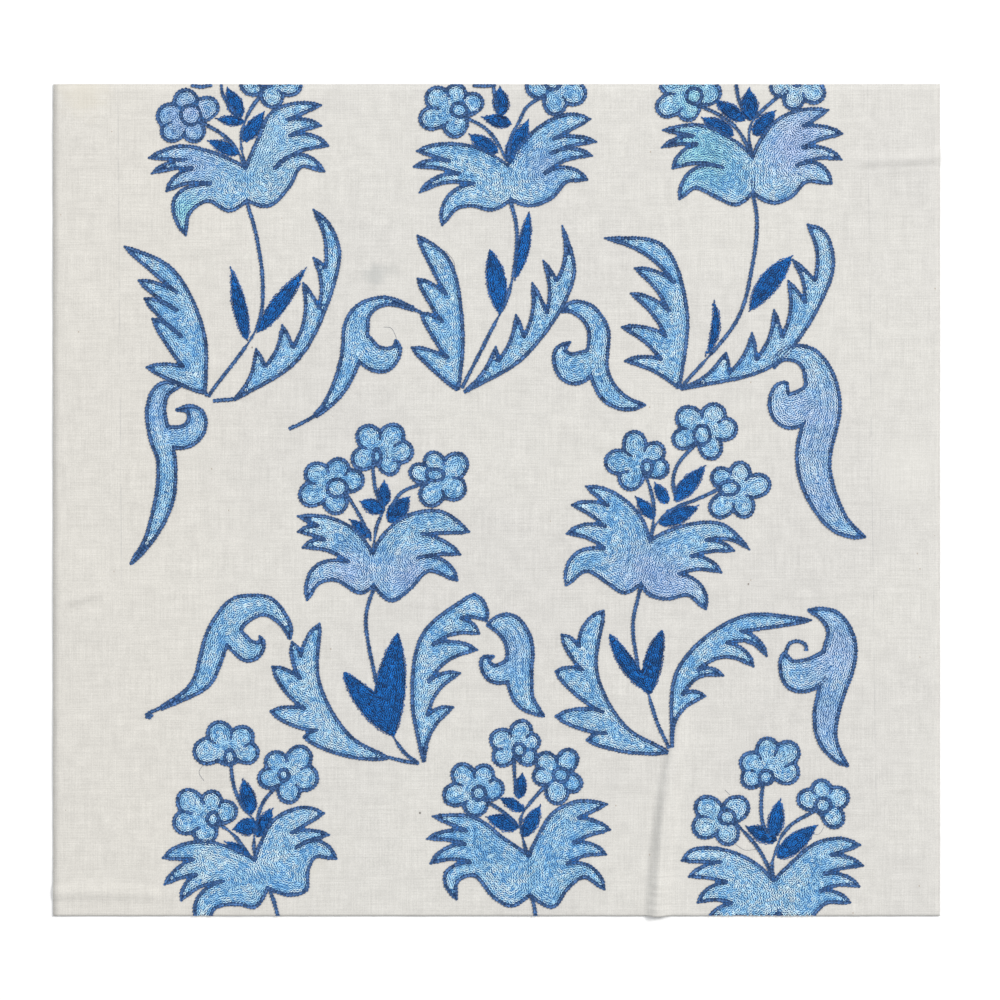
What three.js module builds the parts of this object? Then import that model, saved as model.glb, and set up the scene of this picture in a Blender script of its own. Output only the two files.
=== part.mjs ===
// A cut length of hand-embroidered suzani cloth, lying face up.
// One plain-weave cotton sheet with blue chain-stitch flower sprays; the sheet lies flat on
// what carries it and rises only where it has a soft fold or a crease.
//
// Frame, in millimetres: +X across the cloth, +Y up the pattern, +Z out of the embroidered face.
// Origin: middle of the cloth, on the surface it lies on.

import * as THREE from "three";
import { mergeVertices } from "three/addons/utils/BufferGeometryUtils.js";

// ---- driving sizes -------------------------------------------------------------------------
const CLOTH_WIDTH = 460; // across, X
const CLOTH_LENGTH = 431.5; // up the pattern, Y
const WEAVE_THICKNESS = 0.6; // the cotton itself
const STITCH_RELIEF = 0.9; // chain stitch standing on the cotton
const SHEET_THICKNESS = WEAVE_THICKNESS + STITCH_RELIEF;

// Spacing of the section lines: close together across a fold, wide over the flat cloth.
const FINE_STEP = 3.2;
const WIDE_STEP = 17;

// Folds and creases: a soft ridge along an arc from `start` past `bow` to `end`.
// height: lift of the cloth on the ridge line; left, right: reach of the two flanks, seen from
// start to end; rise, fall: share of the length over which the ridge grows and dies away.
const FOLDS = [
  { name: "soft fold to the lower edge", start: [100, -100], bow: [83.5, -159], end: [82.5, -221], height: 3.4, left: 9, right: 6.5, rise: 0.55, fall: 0 },
  { name: "upper right crease", start: [176, 174.5], bow: [204, 175.5], end: [234, 178], height: 1.3, left: 6.5, right: 4.5, rise: 0.5, fall: 0 },
  { name: "short crease at the left", start: [-227, -54.5], bow: [-214, -50.5], end: [-199, -45], height: 1.1, left: 4.5, right: 4, rise: 0.35, fall: 0.5 },
  { name: "crease along the lower left", start: [-234, -203.5], bow: [-196, -203], end: [-150, -206], height: 1.0, left: 5.5, right: 5.5, rise: 0, fall: 0.5 },
];

// Bands of section lines that carry the folds: [low, high] along each axis.
const FINE_BANDS = {
  x: [[72, 110]],
  y: [[-211, -198], [-60, -41], [167, 185]],
};

// ---- helpers -------------------------------------------------------------------------------
const ease = (t) => {
  const c = Math.min(1, Math.max(0, t));
  return c * c * (3 - 2 * c);
};

// Points along a fold's arc, with the share of the length at each.
function arcOf(fold, steps = 28) {
  const curve = new THREE.QuadraticBezierCurve(
    new THREE.Vector2(...fold.start),
    new THREE.Vector2(...fold.bow),
    new THREE.Vector2(...fold.end),
  );
  return Array.from({ length: steps + 1 }, (_, i) => ({
    share: i / steps,
    at: curve.getPoint(i / steps),
    way: curve.getTangent(i / steps),
  }));
}
const ARCS = FOLDS.map((fold) => ({ fold, arc: arcOf(fold) }));

// Height of the cloth's underside over the surface at a point of the flat cut.
function lift(x, y) {
  let total = 0;
  for (const { fold, arc } of ARCS) {
    let best = null;
    for (const p of arc) {
      const dx = x - p.at.x;
      const dy = y - p.at.y;
      const d = Math.hypot(dx, dy);
      if (!best || d < best.d) best = { d, p, side: p.way.x * dy - p.way.y * dx };
    }
    const reach = best.side > 0 ? fold.left : fold.right;
    if (best.d >= reach) continue;
    const across = 0.5 + 0.5 * Math.cos((Math.PI * best.d) / reach);
    const s = best.p.share;
    const grow = fold.rise > 0 ? ease(s / fold.rise) : 1;
    const fade = fold.fall > 0 ? ease((1 - s) / fold.fall) : 1;
    total += fold.height * across * grow * fade;
  }
  return total;
}

// Section lines over [-size/2, size/2], fine inside the bands.
function sectionLines(size, bands) {
  const half = size / 2;
  const stops = [-half, ...bands.flat(), half];
  const lines = [-half];
  for (let i = 0; i + 1 < stops.length; i++) {
    const span = stops[i + 1] - stops[i];
    const step = i % 2 === 1 ? FINE_STEP : WIDE_STEP;
    const n = Math.max(1, Math.round(span / step));
    for (let k = 1; k <= n; k++) lines.push(stops[i] + (span * k) / n);
  }
  return lines;
}

// ---- the sheet -----------------------------------------------------------------------------
function clothGeometry() {
  const xs = sectionLines(CLOTH_WIDTH, FINE_BANDS.x);
  const ys = sectionLines(CLOTH_LENGTH, FINE_BANDS.y);
  const nx = xs.length - 1;
  const ny = ys.length - 1;
  const raw = new THREE.BoxGeometry(nx, ny, SHEET_THICKNESS, nx, ny, 1);
  raw.deleteAttribute("normal");
  raw.deleteAttribute("uv");
  const sheet = mergeVertices(raw, 1e-4);
  const p = sheet.getAttribute("position");
  for (let i = 0; i < p.count; i++) {
    const x = xs[Math.round(p.getX(i) + nx / 2)];
    const y = ys[Math.round(p.getY(i) + ny / 2)];
    p.setXYZ(i, x, y, p.getZ(i) + SHEET_THICKNESS / 2 + lift(x, y));
  }
  sheet.computeVertexNormals();
  return sheet;
}

const cotton = new THREE.MeshStandardMaterial({ color: 0xdfdcd7, roughness: 0.92, metalness: 0 });

const suzani = new THREE.Group();
const cloth = new THREE.Mesh(clothGeometry(), cotton);
cloth.name = "embroidered_cloth";
suzani.add(cloth);

export default suzani;
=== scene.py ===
# A cut length of hand-embroidered cloth, face up: plain-weave cotton with blue chain stitch.
# Metres, +Z up, in the same frame as the solid that it stands for.
import math
import bpy
import numpy as np
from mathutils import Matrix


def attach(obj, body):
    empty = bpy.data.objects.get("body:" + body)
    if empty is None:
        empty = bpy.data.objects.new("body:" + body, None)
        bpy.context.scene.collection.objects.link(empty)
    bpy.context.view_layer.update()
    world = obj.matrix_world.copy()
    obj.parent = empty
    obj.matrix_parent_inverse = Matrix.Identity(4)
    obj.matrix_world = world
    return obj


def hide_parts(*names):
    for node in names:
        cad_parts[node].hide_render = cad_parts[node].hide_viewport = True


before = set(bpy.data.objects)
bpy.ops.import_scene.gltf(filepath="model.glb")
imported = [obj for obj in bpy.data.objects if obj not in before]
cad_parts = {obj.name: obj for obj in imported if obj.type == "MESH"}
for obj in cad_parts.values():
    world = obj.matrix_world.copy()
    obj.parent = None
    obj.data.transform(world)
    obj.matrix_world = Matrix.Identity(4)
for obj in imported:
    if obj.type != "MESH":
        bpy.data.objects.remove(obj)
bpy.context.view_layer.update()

RNG = np.random.default_rng(41)

# ---- sizes (mm) ----------------------------------------------------------------------------------
CLOTH_WIDTH, CLOTH_LENGTH = 460.0, 431.5
UNDERSIDE = 0.14          # room for the reverse of the stitches
WEAVE = 0.50              # the cotton itself
FACE = UNDERSIDE + WEAVE  # top of the cotton where it lies flat
UNIT = 0.5186             # mm for one unit of the pattern's drawing frame
MIDDLE = (496.5, 500.0)   # middle of the cloth in that frame

# Folds and creases of the solid: a ridge along an arc from start past bow to end.
FOLDS = [
    dict(start=(100, -100), bow=(83.5, -159), end=(82.5, -221), height=3.4, left=9, right=6.5, rise=0.55, fall=0),
    dict(start=(176, 174.5), bow=(204, 175.5), end=(234, 178), height=1.3, left=6.5, right=4.5, rise=0.5, fall=0),
    dict(start=(-227, -54.5), bow=(-214, -50.5), end=(-199, -45), height=1.1, left=4.5, right=4, rise=0.35, fall=0.5),
    dict(start=(-234, -203.5), bow=(-196, -203), end=(-150, -206), height=1.0, left=5.5, right=5.5, rise=0, fall=0.5),
]


def ease(t):
    c = np.clip(t, 0.0, 1.0)
    return c * c * (3 - 2 * c)


def lift(x, y):
    """Height of the cloth's underside over the surface (mm), as in the solid."""
    x, y = np.asarray(x, float), np.asarray(y, float)
    total = np.zeros(np.broadcast(x, y).shape)
    for f in FOLDS:
        a, b, c = (np.array(f[k], float) for k in ("start", "bow", "end"))
        best = np.full(total.shape, 1e9)
        side = np.zeros(total.shape)
        share = np.zeros(total.shape)
        for i in range(29):
            s = i / 28
            at = (1 - s) ** 2 * a + 2 * s * (1 - s) * b + s * s * c
            way = 2 * (1 - s) * (b - a) + 2 * s * (c - b)
            way = way / np.hypot(*way)
            dx, dy = x - at[0], y - at[1]
            d = np.hypot(dx, dy)
            near = d < best
            best = np.where(near, d, best)
            side = np.where(near, way[0] * dy - way[1] * dx, side)
            share = np.where(near, s, share)
        reach = np.where(side > 0, f["left"], f["right"])
        across = np.where(best < reach, 0.5 + 0.5 * np.cos(np.pi * np.minimum(best / reach, 1.0)), 0.0)
        grow = ease(share / f["rise"]) if f["rise"] > 0 else 1.0
        fade = ease((1 - share) / f["fall"]) if f["fall"] > 0 else 1.0
        total = total + f["height"] * across * grow * fade
    return total


# Finer pressed lines and ripples of the cotton: start, end, height, reach (mm).
PRESSED = [
    ((-193, -37.5), (-88, -38.4), 0.16, 2.2),
    ((137, -49.8), (229, -47.7), 0.18, 2.4),
    ((-34, 62), (-30, -48), 0.10, 3.0),
    ((-22, 58), (-17, -44), 0.10, 3.4),
    ((-6.5, 60), (-4, -40), 0.09, 2.8),
    ((31, 58), (36, -50), 0.11, 3.4),
    ((41, 52), (44, -46), 0.09, 3.0),
    ((98.5, -107), (92, -126), 0.45, 3.2),
    ((92.5, -124), (86.5, -146), 0.55, 3.2),
    ((86.5, -146), (83, -216), 0.50, 3.0),
    ((99, -100), (118, -70), 0.25, 6.0),
    ((-226, 196), (-160, 203), 0.12, 5.0),
    ((184, 169.4), (229.9, 171.6), 0.20, 3.0),
    ((176, -176), (226, -184), 0.14, 5.0),
    ((120, -150), (150, -110), 0.14, 6.0),
]
WAVES = [(0.045, 0.9, 0.6, 0.14), (0.071, -0.55, 2.1, 0.10), (0.108, 1.3, 4.0, 0.07), (0.16, 0.2, 1.2, 0.05)]   # per mm, heading, phase, height


def ripple(x, y):
    """Shallow unevenness of the cotton's top (mm), never below the solid's own shape."""
    x, y = np.asarray(x, float), np.asarray(y, float)
    z = np.zeros(np.broadcast(x, y).shape)
    for (x0, y0), (x1, y1), h, reach in PRESSED:
        lx, ly = x1 - x0, y1 - y0
        n = math.hypot(lx, ly)
        along = ((x - x0) * lx + (y - y0) * ly) / (n * n)
        across = np.abs((x - x0) * ly - (y - y0) * lx) / n
        ends = ease((along + 0.02) / 0.25) * ease((1.02 - along) / 0.25)
        z = z + h * np.exp(-(across / (0.55 * reach)) ** 2) * ends
    for k, heading, phase, h in WAVES:
        u = x * math.cos(heading) + y * math.sin(heading)
        w = -x * math.sin(heading) + y * math.cos(heading)
        z = z + h * (0.5 + 0.5 * np.sin(2 * math.pi * k * 0.35 * u + phase + 0.9 * np.sin(0.021 * w + phase)))
    return z


def face(x, y):
    """Top of the cotton at a point of the cloth (mm)."""
    return lift(x, y) + ripple(x, y) + FACE


def to_mm(px, py):
    return (np.asarray(px, float) - MIDDLE[0]) * UNIT, (MIDDLE[1] - np.asarray(py, float)) * UNIT


def linear(r, g, b):
    def one(c):
        c /= 255.0
        return c / 12.92 if c <= 0.04045 else ((c + 0.055) / 1.055) ** 2.4
    return np.array([one(r), one(g), one(b)])


# ---- the pattern ---------------------------------------------------------------------------------
# Every motif is drawn by a rule from a few whole numbers, in units of 1/1000 of the view's width
# (x right, y down).  A calyx wing is a crest, some claw fingers (tip, notch, tip, ...) and a belly;
# a leaf is a smooth back and some teeth; a blossom is round petals about a ring; a scroll is two
# brush strokes, a body and a hook, each a spine with half-widths; a blade is two bowed edges.

SPRAYS = {
    "A": dict(
        heart=(246, 168), foot=(247, 201),
        left=dict(crest=[(215, 154), (180, 147)], fingers=[(148, 158), (186, 160), (151, 174), (194, 168), (166, 192), (212, 184), (186, 236)], claw=0.45, belly=[(188, 214), (208, 200), (229, 210)]),
        right=dict(crest=[(258, 142), (272, 113), (297, 104)], fingers=[(322, 105), (287, 120), (322, 126), (289, 136), (329, 146), (274, 169), (325, 172)], claw=0.30, belly=[(301, 166), (289, 186), (269, 205)]),
        leaves=[
            dict(tip=(124, 246), back=[(172, 270), (203, 332)], base=(205, 393), teeth=[(146, 367), (184, 367), (152, 318), (182, 337), (144, 298), (178, 311), (138, 280), (178, 293)], hollow=0.02, lip=0.05, brow=0.0),
            dict(tip=(313, 209), back=[(328, 224), (337, 243), (338, 264), (300, 356)], base=(234, 400), teeth=[(256, 348), (265, 367), (282, 324), (293, 348), (303, 282), (319, 308), (313, 257), (326, 268)], hollow=-0.12, lip=0.0, brow=-0.10),
        ],
        blades=[],
        pairs=[],
        sprigs=[(231, 266, 247, 341, 14), (307, 267, 257, 333, 16), (227, 87, 241, 118, 16), (215, 119, 245, 122, 10), (207, 140, 240, 154, 13), (265, 111, 243, 142, 15)],
        stems=[[(247, 202), (257, 238), (263, 286), (258, 325), (210, 394)], [(201, 122), (222, 134), (236, 148), (246, 169)], [(264, 91), (250, 111), (243, 128), (241, 142), (246, 169)], [(234, 399), (213, 401)], [(221, 84), (223, 95), (231, 108), (241, 118)], [(191, 85), (201, 87), (212, 85)], [(205, 394), (211, 396)]],
        blooms=[
            dict(at=(187, 116), ring=(191, 115, 10, 10), petals=[(94, 14, 12), (21, 21, 11), (-65, 16, 11), (225, 20, 11), (180, 17, 12)]),
            dict(at=(270, 80), ring=(265, 80, 8, 8), petals=[(191, 17, 12), (-82, 16, 11), (-13, 20, 11), (58, 18, 12), (122, 18, 12)]),
        ],
    ),
    "B": dict(
        heart=(508, 165), foot=(511, 200),
        left=dict(crest=[(475, 148), (440, 145)], fingers=[(416, 151), (450, 161), (413, 167), (460, 174), (419, 193), (475, 184), (442, 226)], claw=0.24, belly=[(456, 208), (472, 205), (492, 209)]),
        right=dict(crest=[(522, 145), (545, 124), (570, 115)], fingers=[(591, 119), (553, 139), (597, 142), (550, 154), (593, 156), (544, 174), (588, 180)], claw=0.20, belly=[(566, 181), (553, 196), (531, 205)]),
        leaves=[
            dict(tip=(417, 235), back=[(448, 260), (462, 330)], base=(458, 390), teeth=[(411, 347), (448, 358), (420, 312), (443, 322), (417, 278), (447, 295)], hollow=0.02, lip=0.04, brow=0.01),
            dict(tip=(562, 225), back=[(573, 276), (526, 354)], base=(464, 392), teeth=[(496, 346), (498, 362), (516, 314), (524, 338), (532, 282), (547, 314), (543, 260), (557, 282)], hollow=-0.10, lip=0.0, brow=-0.12),
        ],
        blades=[(529, 211, 515, 281, 0.06, 0.11), (490, 249, 500, 316, 0.12, 0.17)],
        pairs=[],
        sprigs=[(500, 86, 502, 116, 16), (481, 117, 512, 124, 13), (468, 134, 498, 153, 15), (529, 119, 508, 163, 19)],
        stems=[[(511, 202), (517, 232), (509, 293), (490, 333), (462, 388)], [(465, 117), (485, 128), (497, 142), (507, 162)], [(545, 95), (527, 107), (519, 122), (511, 138), (508, 162)], [(493, 84), (495, 97), (498, 112)], [(473, 85), (484, 86), (496, 85)]],
        blooms=[
            dict(at=(454, 112), ring=(459, 110, 8, 7), petals=[(83, 17, 10), (25, 20, 10), (-84, 13, 12), (196, 23, 11), (141, 20, 12)]),
            dict(at=(556, 85), ring=(553, 82, 8, 8), petals=[(184, 17, 12), (-93, 18, 11), (-25, 19, 12), (55, 18, 12), (118, 18, 12)]),
        ],
    ),
    "C": dict(
        heart=(753, 157), foot=(753, 193),
        left=dict(crest=[(732, 140), (700, 126)], fingers=[(662, 130), (694, 136), (661, 148), (698, 144), (672, 169), (724, 168), (679, 200)], claw=0.29, belly=[(695, 187), (714, 195), (736, 204)]),
        right=dict(crest=[(761, 141), (776, 122), (800, 111)], fingers=[(829, 110), (802, 127), (843, 134), (802, 148), (842, 160), (796, 166), (832, 184)], claw=0.28, belly=[(806, 181), (791, 196), (772, 202)]),
        leaves=[
            dict(tip=(604, 238), back=[(662, 246), (686, 310)], base=(679, 388), teeth=[(624, 361), (662, 360), (621, 327), (666, 336), (630, 293), (670, 312), (634, 268), (675, 283)], hollow=-0.08, lip=0.08, brow=-0.11),
            dict(tip=(807, 224), back=[(824, 233), (832, 256), (829, 281), (776, 362)], base=(681, 389), teeth=[(726, 352), (729, 373), (752, 332), (756, 360), (774, 309), (782, 338), (788, 280), (805, 303), (792, 259), (815, 281)], hollow=-0.11, lip=0.0, brow=-0.12),
        ],
        blades=[(793, 255, 749, 312, 0.17, 0.11), (714, 300, 706, 357, -0.02, 0.17)],
        pairs=[],
        sprigs=[(749, 87, 750, 121, 18), (714, 100, 745, 121, 14), (701, 117, 734, 135, 15), (776, 110, 753, 135, 16)],
        stems=[[(753, 193), (757, 222), (752, 268), (738, 318), (680, 389)], [(698, 105), (721, 116), (738, 130), (752, 156)], [(787, 89), (765, 108), (752, 122), (749, 136), (752, 157)], [(736, 84), (738, 97), (743, 111)], [(753, 178), (753, 193)]],
        blooms=[
            dict(at=(690, 93), ring=(694, 96, 8, 8), petals=[(211, 25, 11), (-96, 16, 11), (0, 18, 12), (72, 18, 12), (152, 20, 12)]),
            dict(at=(800, 83), ring=(797, 79, 7, 7), petals=[(-112, 17, 10), (-35, 16, 11), (191, 19, 10), (40, 18, 12), (118, 18, 12)]),
        ],
    ),
    "D": dict(
        heart=(373, 554), foot=(374, 586),
        left=dict(crest=[(355, 531), (328, 518)], fingers=[(297, 516), (319, 526), (297, 532), (326, 540), (302, 548), (349, 562), (307, 601)], claw=0.33, belly=[(318, 583), (336, 579), (360, 592)]),
        right=dict(crest=[(382, 538), (404, 518), (440, 512)], fingers=[(470, 532), (421, 534), (461, 555), (417, 558), (458, 581)], claw=0.22, belly=[(428, 570), (410, 588), (391, 600)]),
        leaves=[
            dict(tip=(320, 623), back=[(318, 680), (349, 736)], base=(388, 758), teeth=[(303, 737), (318, 730), (270, 711), (306, 709), (272, 666), (301, 679), (292, 641), (301, 657)], hollow=0.08, lip=0.06, brow=0.08),
            dict(tip=(474, 593), back=[(424, 634), (413, 696)], base=(424, 762), teeth=[(454, 707), (427, 716), (461, 673), (428, 682), (478, 650), (432, 645), (480, 634), (460, 618), (487, 622)], hollow=-0.14, lip=0.11, brow=0.15, ends_on_tooth=True),
        ],
        blades=[],
        pairs=[[(342, 670), (394, 738, 0.12), (398, 631, 0.09), (374, 692, 0.06)]],
        sprigs=[(384, 480, 384, 507, 13), (359, 501, 385, 511, 15), (410, 496, 388, 522, 19), (349, 518, 372, 538, 10)],
        stems=[[(374, 587), (366, 618), (376, 682)], [(393, 736), (404, 752), (418, 763)], [(388, 757), (404, 761), (419, 763)], [(373, 466), (374, 480), (377, 494), (384, 508)], [(428, 482), (402, 492), (391, 508)], [(346, 493), (360, 516), (371, 541)], [(385, 508), (377, 526), (373, 553)]],
        blooms=[
            dict(at=(382, 450), ring=(377, 457, 4, 9), petals=[(136, 18, 12), (53, 17, 12), (-5, 19, 11), (-63, 16, 10), (205, 20, 11)]),
            dict(at=(330, 485), ring=(337, 488, 10, 9), petals=[(141, 16, 12), (62, 17, 11), (12, 22, 11), (-72, 17, 12), (207, 20, 12)]),
            dict(at=(442, 480), ring=(435, 475, 9, 6), petals=[(114, 19, 10), (47, 20, 12), (-35, 14, 12), (234, 17, 12), (162, 23, 9)]),
        ],
    ),
    "E": dict(
        heart=(650, 541), foot=(641, 584),
        left=dict(crest=[(641, 519), (626, 502), (606, 490)], fingers=[(585, 486), (609, 506), (571, 505), (606, 527), (566, 534), (605, 549), (566, 586)], claw=0.30, belly=[(586, 570), (609, 583), (624, 592)]),
        right=dict(crest=[(661, 535), (690, 525), (722, 525)], fingers=[(750, 550), (705, 540), (735, 551), (690, 556), (722, 573), (678, 574), (706, 610)], claw=0.23, belly=[(688, 594), (668, 598), (650, 594)], scoop=-0.15),
        leaves=[
            dict(tip=(604, 610), back=[(596, 672), (625, 727)], base=(668, 752), teeth=[(586, 740), (607, 733), (555, 716), (604, 712), (555, 671), (583, 670), (561, 634), (579, 647)], hollow=0.06, lip=0.09, brow=0.16),
            dict(tip=(812, 620), back=[(740, 618), (679, 669)], base=(672, 747), teeth=[(706, 696), (682, 695), (724, 676), (697, 670), (754, 667), (726, 643), (767, 657), (740, 631)], hollow=-0.22, lip=0.15, brow=0.0),
        ],
        blades=[],
        pairs=[[(608, 631), (651, 695, 0.13), (663, 628, 0.08), (642, 671, 0.09)]],
        sprigs=[(654, 482, 668, 504, 12), (635, 496, 655, 519, 12), (706, 465, 674, 501, 17), (700, 506, 659, 524, 17)],
        stems=[[(641, 586), (633, 624), (638, 668)], [(648, 692), (656, 719), (669, 748)], [(698, 442), (678, 464), (673, 482), (677, 502)], [(645, 473), (651, 491), (654, 510), (651, 541)], [(719, 489), (695, 500), (678, 506), (662, 518), (653, 529), (651, 541)]],
        blooms=[
            dict(at=(706, 429), ring=(702, 435, 8, 10), petals=[(61, 15, 12), (0, 19, 11), (-76, 19, 11), (203, 24, 10), (149, 20, 12)]),
            dict(at=(636, 462), ring=(647, 467, 5, 7), petals=[(94, 19, 11), (28, 20, 10), (-16, 22, 10), (252, 16, 12), (180, 18, 12)]),
            dict(at=(740, 491), ring=(729, 488, 10, 7), petals=[(144, 22, 10), (90, 18, 10), (18, 19, 11), (-77, 16, 10), (219, 24, 11)]),
        ],
    ),
    "F": dict(
        heart=(255, 860), foot=(268, 888),
        left=dict(crest=[(230, 848), (204, 842), (178, 847)], fingers=[(162, 858), (194, 859), (164, 885), (197, 874), (181, 901), (223, 881), (207, 936)], claw=0.34, belly=[(214, 908), (238, 903), (255, 906)]),
        right=dict(crest=[(261, 844), (275, 820), (303, 808)], fingers=[(325, 813), (291, 833), (330, 835), (295, 848), (337, 859)], claw=0.28, belly=[(315, 856), (307, 872), (306, 889), (290, 894)]),
        leaves=[], blades=[], pairs=[],
        sprigs=[(243, 778, 252, 815, 16), (232, 829, 259, 825, 18), (273, 807, 256, 837, 14), (224, 841, 250, 855, 9)],
        stems=[[(231, 765), (234, 786), (242, 805), (254, 820)], [(279, 784), (264, 801), (258, 817), (256, 832)], [(255, 828), (254, 845), (255, 860)], [(217, 822), (234, 835), (245, 849), (255, 860)], [(269, 888), (274, 901), (279, 920)]],
        blooms=[
            dict(at=(228, 745), ring=(230, 757, 5, 8), petals=[(196, 21, 13), (126, 14, 12), (29, 16, 11), (-21, 20, 11), (-84, 6, 14)]),
            dict(at=(289, 773), ring=(284, 775, 5, 6), petals=[(140, 16, 11), (55, 18, 12), (-16, 16, 13), (-90, 18, 11), (194, 20, 10)]),
            dict(at=(203, 815), ring=(213, 819, 6, 7), petals=[(135, 19, 12), (58, 16, 10), (9, 22, 11), (-82, 16, 12), (202, 18, 12)]),
        ],
    ),
    "G": dict(
        heart=(529, 856), foot=(530, 895),
        left=dict(crest=[(505, 840), (474, 818)], fingers=[(432, 816), (467, 831), (426, 839), (466, 844), (430, 864), (471, 862), (457, 900)], claw=0.48, belly=[(456, 882), (474, 874), (494, 896), (511, 905)]),
        right=dict(crest=[(538, 838), (553, 814), (578, 802)], fingers=[(608, 804), (577, 818), (611, 830), (572, 843), (607, 855), (566, 864), (605, 890)], claw=0.23, belly=[(584, 876), (567, 888), (553, 906)]),
        leaves=[], blades=[], pairs=[],
        sprigs=[(522, 772, 519, 799, 13), (499, 797, 525, 811, 11), (485, 816, 519, 828, 16), (541, 804, 523, 837, 15)],
        stems=[[(514, 758), (515, 779), (518, 798)], [(547, 784), (530, 803), (521, 817), (521, 831), (528, 856)], [(485, 800), (505, 813), (520, 828)], [(531, 894), (534, 905), (536, 920)]],
        blooms=[
            dict(at=(514, 745), ring=(519, 750, 6, 7), petals=[(63, 16, 10), (158, 13, 11), (225, 15, 10), (11, 17, 8), (-39, 17, 9)]),
            dict(at=(475, 790), ring=(479, 793, 7, 7), petals=[(128, 19, 11), (60, 17, 10), (3, 17, 11), (-87, 14, 12), (193, 20, 11)]),
            dict(at=(558, 775), ring=(561, 775, 8, 7), petals=[(133, 17, 10), (58, 18, 10), (183, 15, 9), (-93, 17, 11), (-29, 16, 9)]),
        ],
    ),
    "H": dict(
        heart=(774, 881), foot=(779, 913),
        left=dict(crest=[(752, 862), (722, 850), (694, 850)], fingers=[(681, 861), (722, 862), (688, 877), (727, 882), (697, 903), (733, 903), (703, 938)], claw=0.19, belly=[(728, 924), (752, 925)]),
        right=dict(crest=[(790, 865), (816, 844), (840, 839)], fingers=[(861, 845), (830, 855), (864, 866), (823, 874), (860, 887), (819, 891), (851, 903)], claw=0.12, belly=[(826, 902), (809, 918), (796, 926)]),
        leaves=[], blades=[], pairs=[],
        sprigs=[(780, 798, 773, 838, 16), (745, 826, 777, 841, 16), (818, 824, 777, 858, 19)],
        stems=[[(763, 783), (761, 806), (763, 824), (770, 836)], [(814, 811), (792, 824), (781, 837), (777, 848), (772, 864), (774, 881)], [(735, 822), (755, 844), (766, 862), (774, 881)], [(779, 908), (781, 920)]],
        blooms=[
            dict(at=(771, 764), ring=(766, 777, 7, 7), petals=[(103, 15, 11), (177, 19, 11), (34, 19, 12), (-27, 17, 12), (216, 23, 10)]),
            dict(at=(722, 819), ring=(727, 817, 8, 7), petals=[(143, 18, 12), (37, 18, 12), (203, 18, 12), (-69, 15, 11)]),
            dict(at=(824, 803), ring=(823, 805, 8, 7), petals=[(101, 13, 10), (22, 14, 11), (-56, 17, 10), (167, 16, 10)]),
        ],
    ),
}

# ends of thread that lie loose on the cloth
LOOSE_ENDS = [
    [(205, 763), (199, 772), (204, 781)], [(725, 790), (730, 795)], [(735, 844), (745, 850), (757, 849)],
    [(811, 834), (819, 834), (824, 827)], [(384, 327), (391, 328), (396, 337), (397, 344)], [(446, 251), (454, 262), (455, 274)],
]

# body and hook: rows of x, y, half-width along the brush stroke
SCROLLS = {
    "S1": dict(body=[(182, 385, 1), (163, 390, 6), (156, 408, 8), (160, 436, 9), (166, 456, 8), (167, 478, 8), (165, 497, 8), (158, 520, 6), (147, 543, 3), (131, 564, 1)],
               hook=[(170, 437, 9), (184, 437, 10), (195, 429, 9), (197, 417, 7), (190, 409, 3), (176, 410, 1)], lines=[]),
    "S2": dict(body=[(414, 309, 1), (388, 301, 3), (371, 305, 5), (360, 315, 8), (356, 329, 11), (354, 344, 10), (349, 364, 8), (340, 386, 6), (327, 405, 3), (315, 416, 1)],
               hook=[(362, 346, 11), (371, 356, 11), (382, 360, 11), (391, 356, 7), (397, 348, 3), (396, 340, 1)], lines=[[(318, 414), (304, 422), (289, 429)], [(411, 308), (421, 312)]]),
    "S3": dict(body=[(562, 312, 1), (571, 307, 4), (585, 311, 7), (595, 322, 8), (599, 334, 9), (598, 351, 9), (598, 366, 8), (602, 381, 8), (611, 395, 8), (627, 404, 5), (645, 405, 1)],
               hook=[(592, 357, 7), (583, 365, 12), (574, 369, 14), (564, 362, 9), (560, 351, 4), (570, 342, 1)], lines=[]),
    "S4": dict(body=[(774, 368, 1), (779, 358, 3), (791, 353, 6), (807, 357, 9), (817, 371, 12), (822, 390, 15), (824, 408, 15), (819, 429, 16), (814, 449, 16), (814, 470, 15), (822, 496, 13), (837, 521, 9), (850, 531, 5), (865, 537, 1)],
               hook=[(812, 399, 13), (801, 406, 14), (790, 411, 16), (780, 403, 10), (781, 390, 6), (787, 382, 1)], lines=[]),
    "S5": dict(body=[(290, 639, 1), (288, 628, 3), (280, 616, 5), (267, 606, 8), (253, 606, 10), (239, 611, 13), (229, 622, 13), (218, 637, 11), (211, 658, 10), (204, 678, 8), (190, 692, 4), (161, 708, 1)],
               hook=[(230, 633, 10), (238, 642, 9), (249, 651, 9), (258, 648, 5), (262, 642, 2), (260, 636, 1)], lines=[[(168, 703), (158, 709), (149, 713), (146, 716), (150, 718), (152, 714)]]),
    "S6": dict(body=[(487, 625, 1), (496, 624, 5), (508, 626, 11), (517, 638, 12), (520, 650, 12), (519, 667, 12), (520, 683, 11), (524, 699, 8), (534, 709, 4), (544, 716, 1)],
               hook=[(512, 669, 9), (503, 673, 9), (494, 674, 7), (487, 667, 5), (485, 660, 3), (494, 656, 1)], lines=[]),
    "S7": dict(body=[(808, 610, 1), (821, 613, 4), (833, 620, 8), (840, 634, 11), (840, 650, 15), (838, 668, 14), (832, 690, 12), (826, 715, 11), (827, 738, 8), (837, 756, 4), (848, 766, 1)],
               hook=[(828, 665, 13), (813, 673, 14), (798, 676, 14), (788, 668, 7), (785, 660, 4), (784, 653, 1)], lines=[[(785, 653), (790, 643), (798, 641), (806, 645), (806, 651)], [(816, 688), (827, 677)]]),
}
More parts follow.
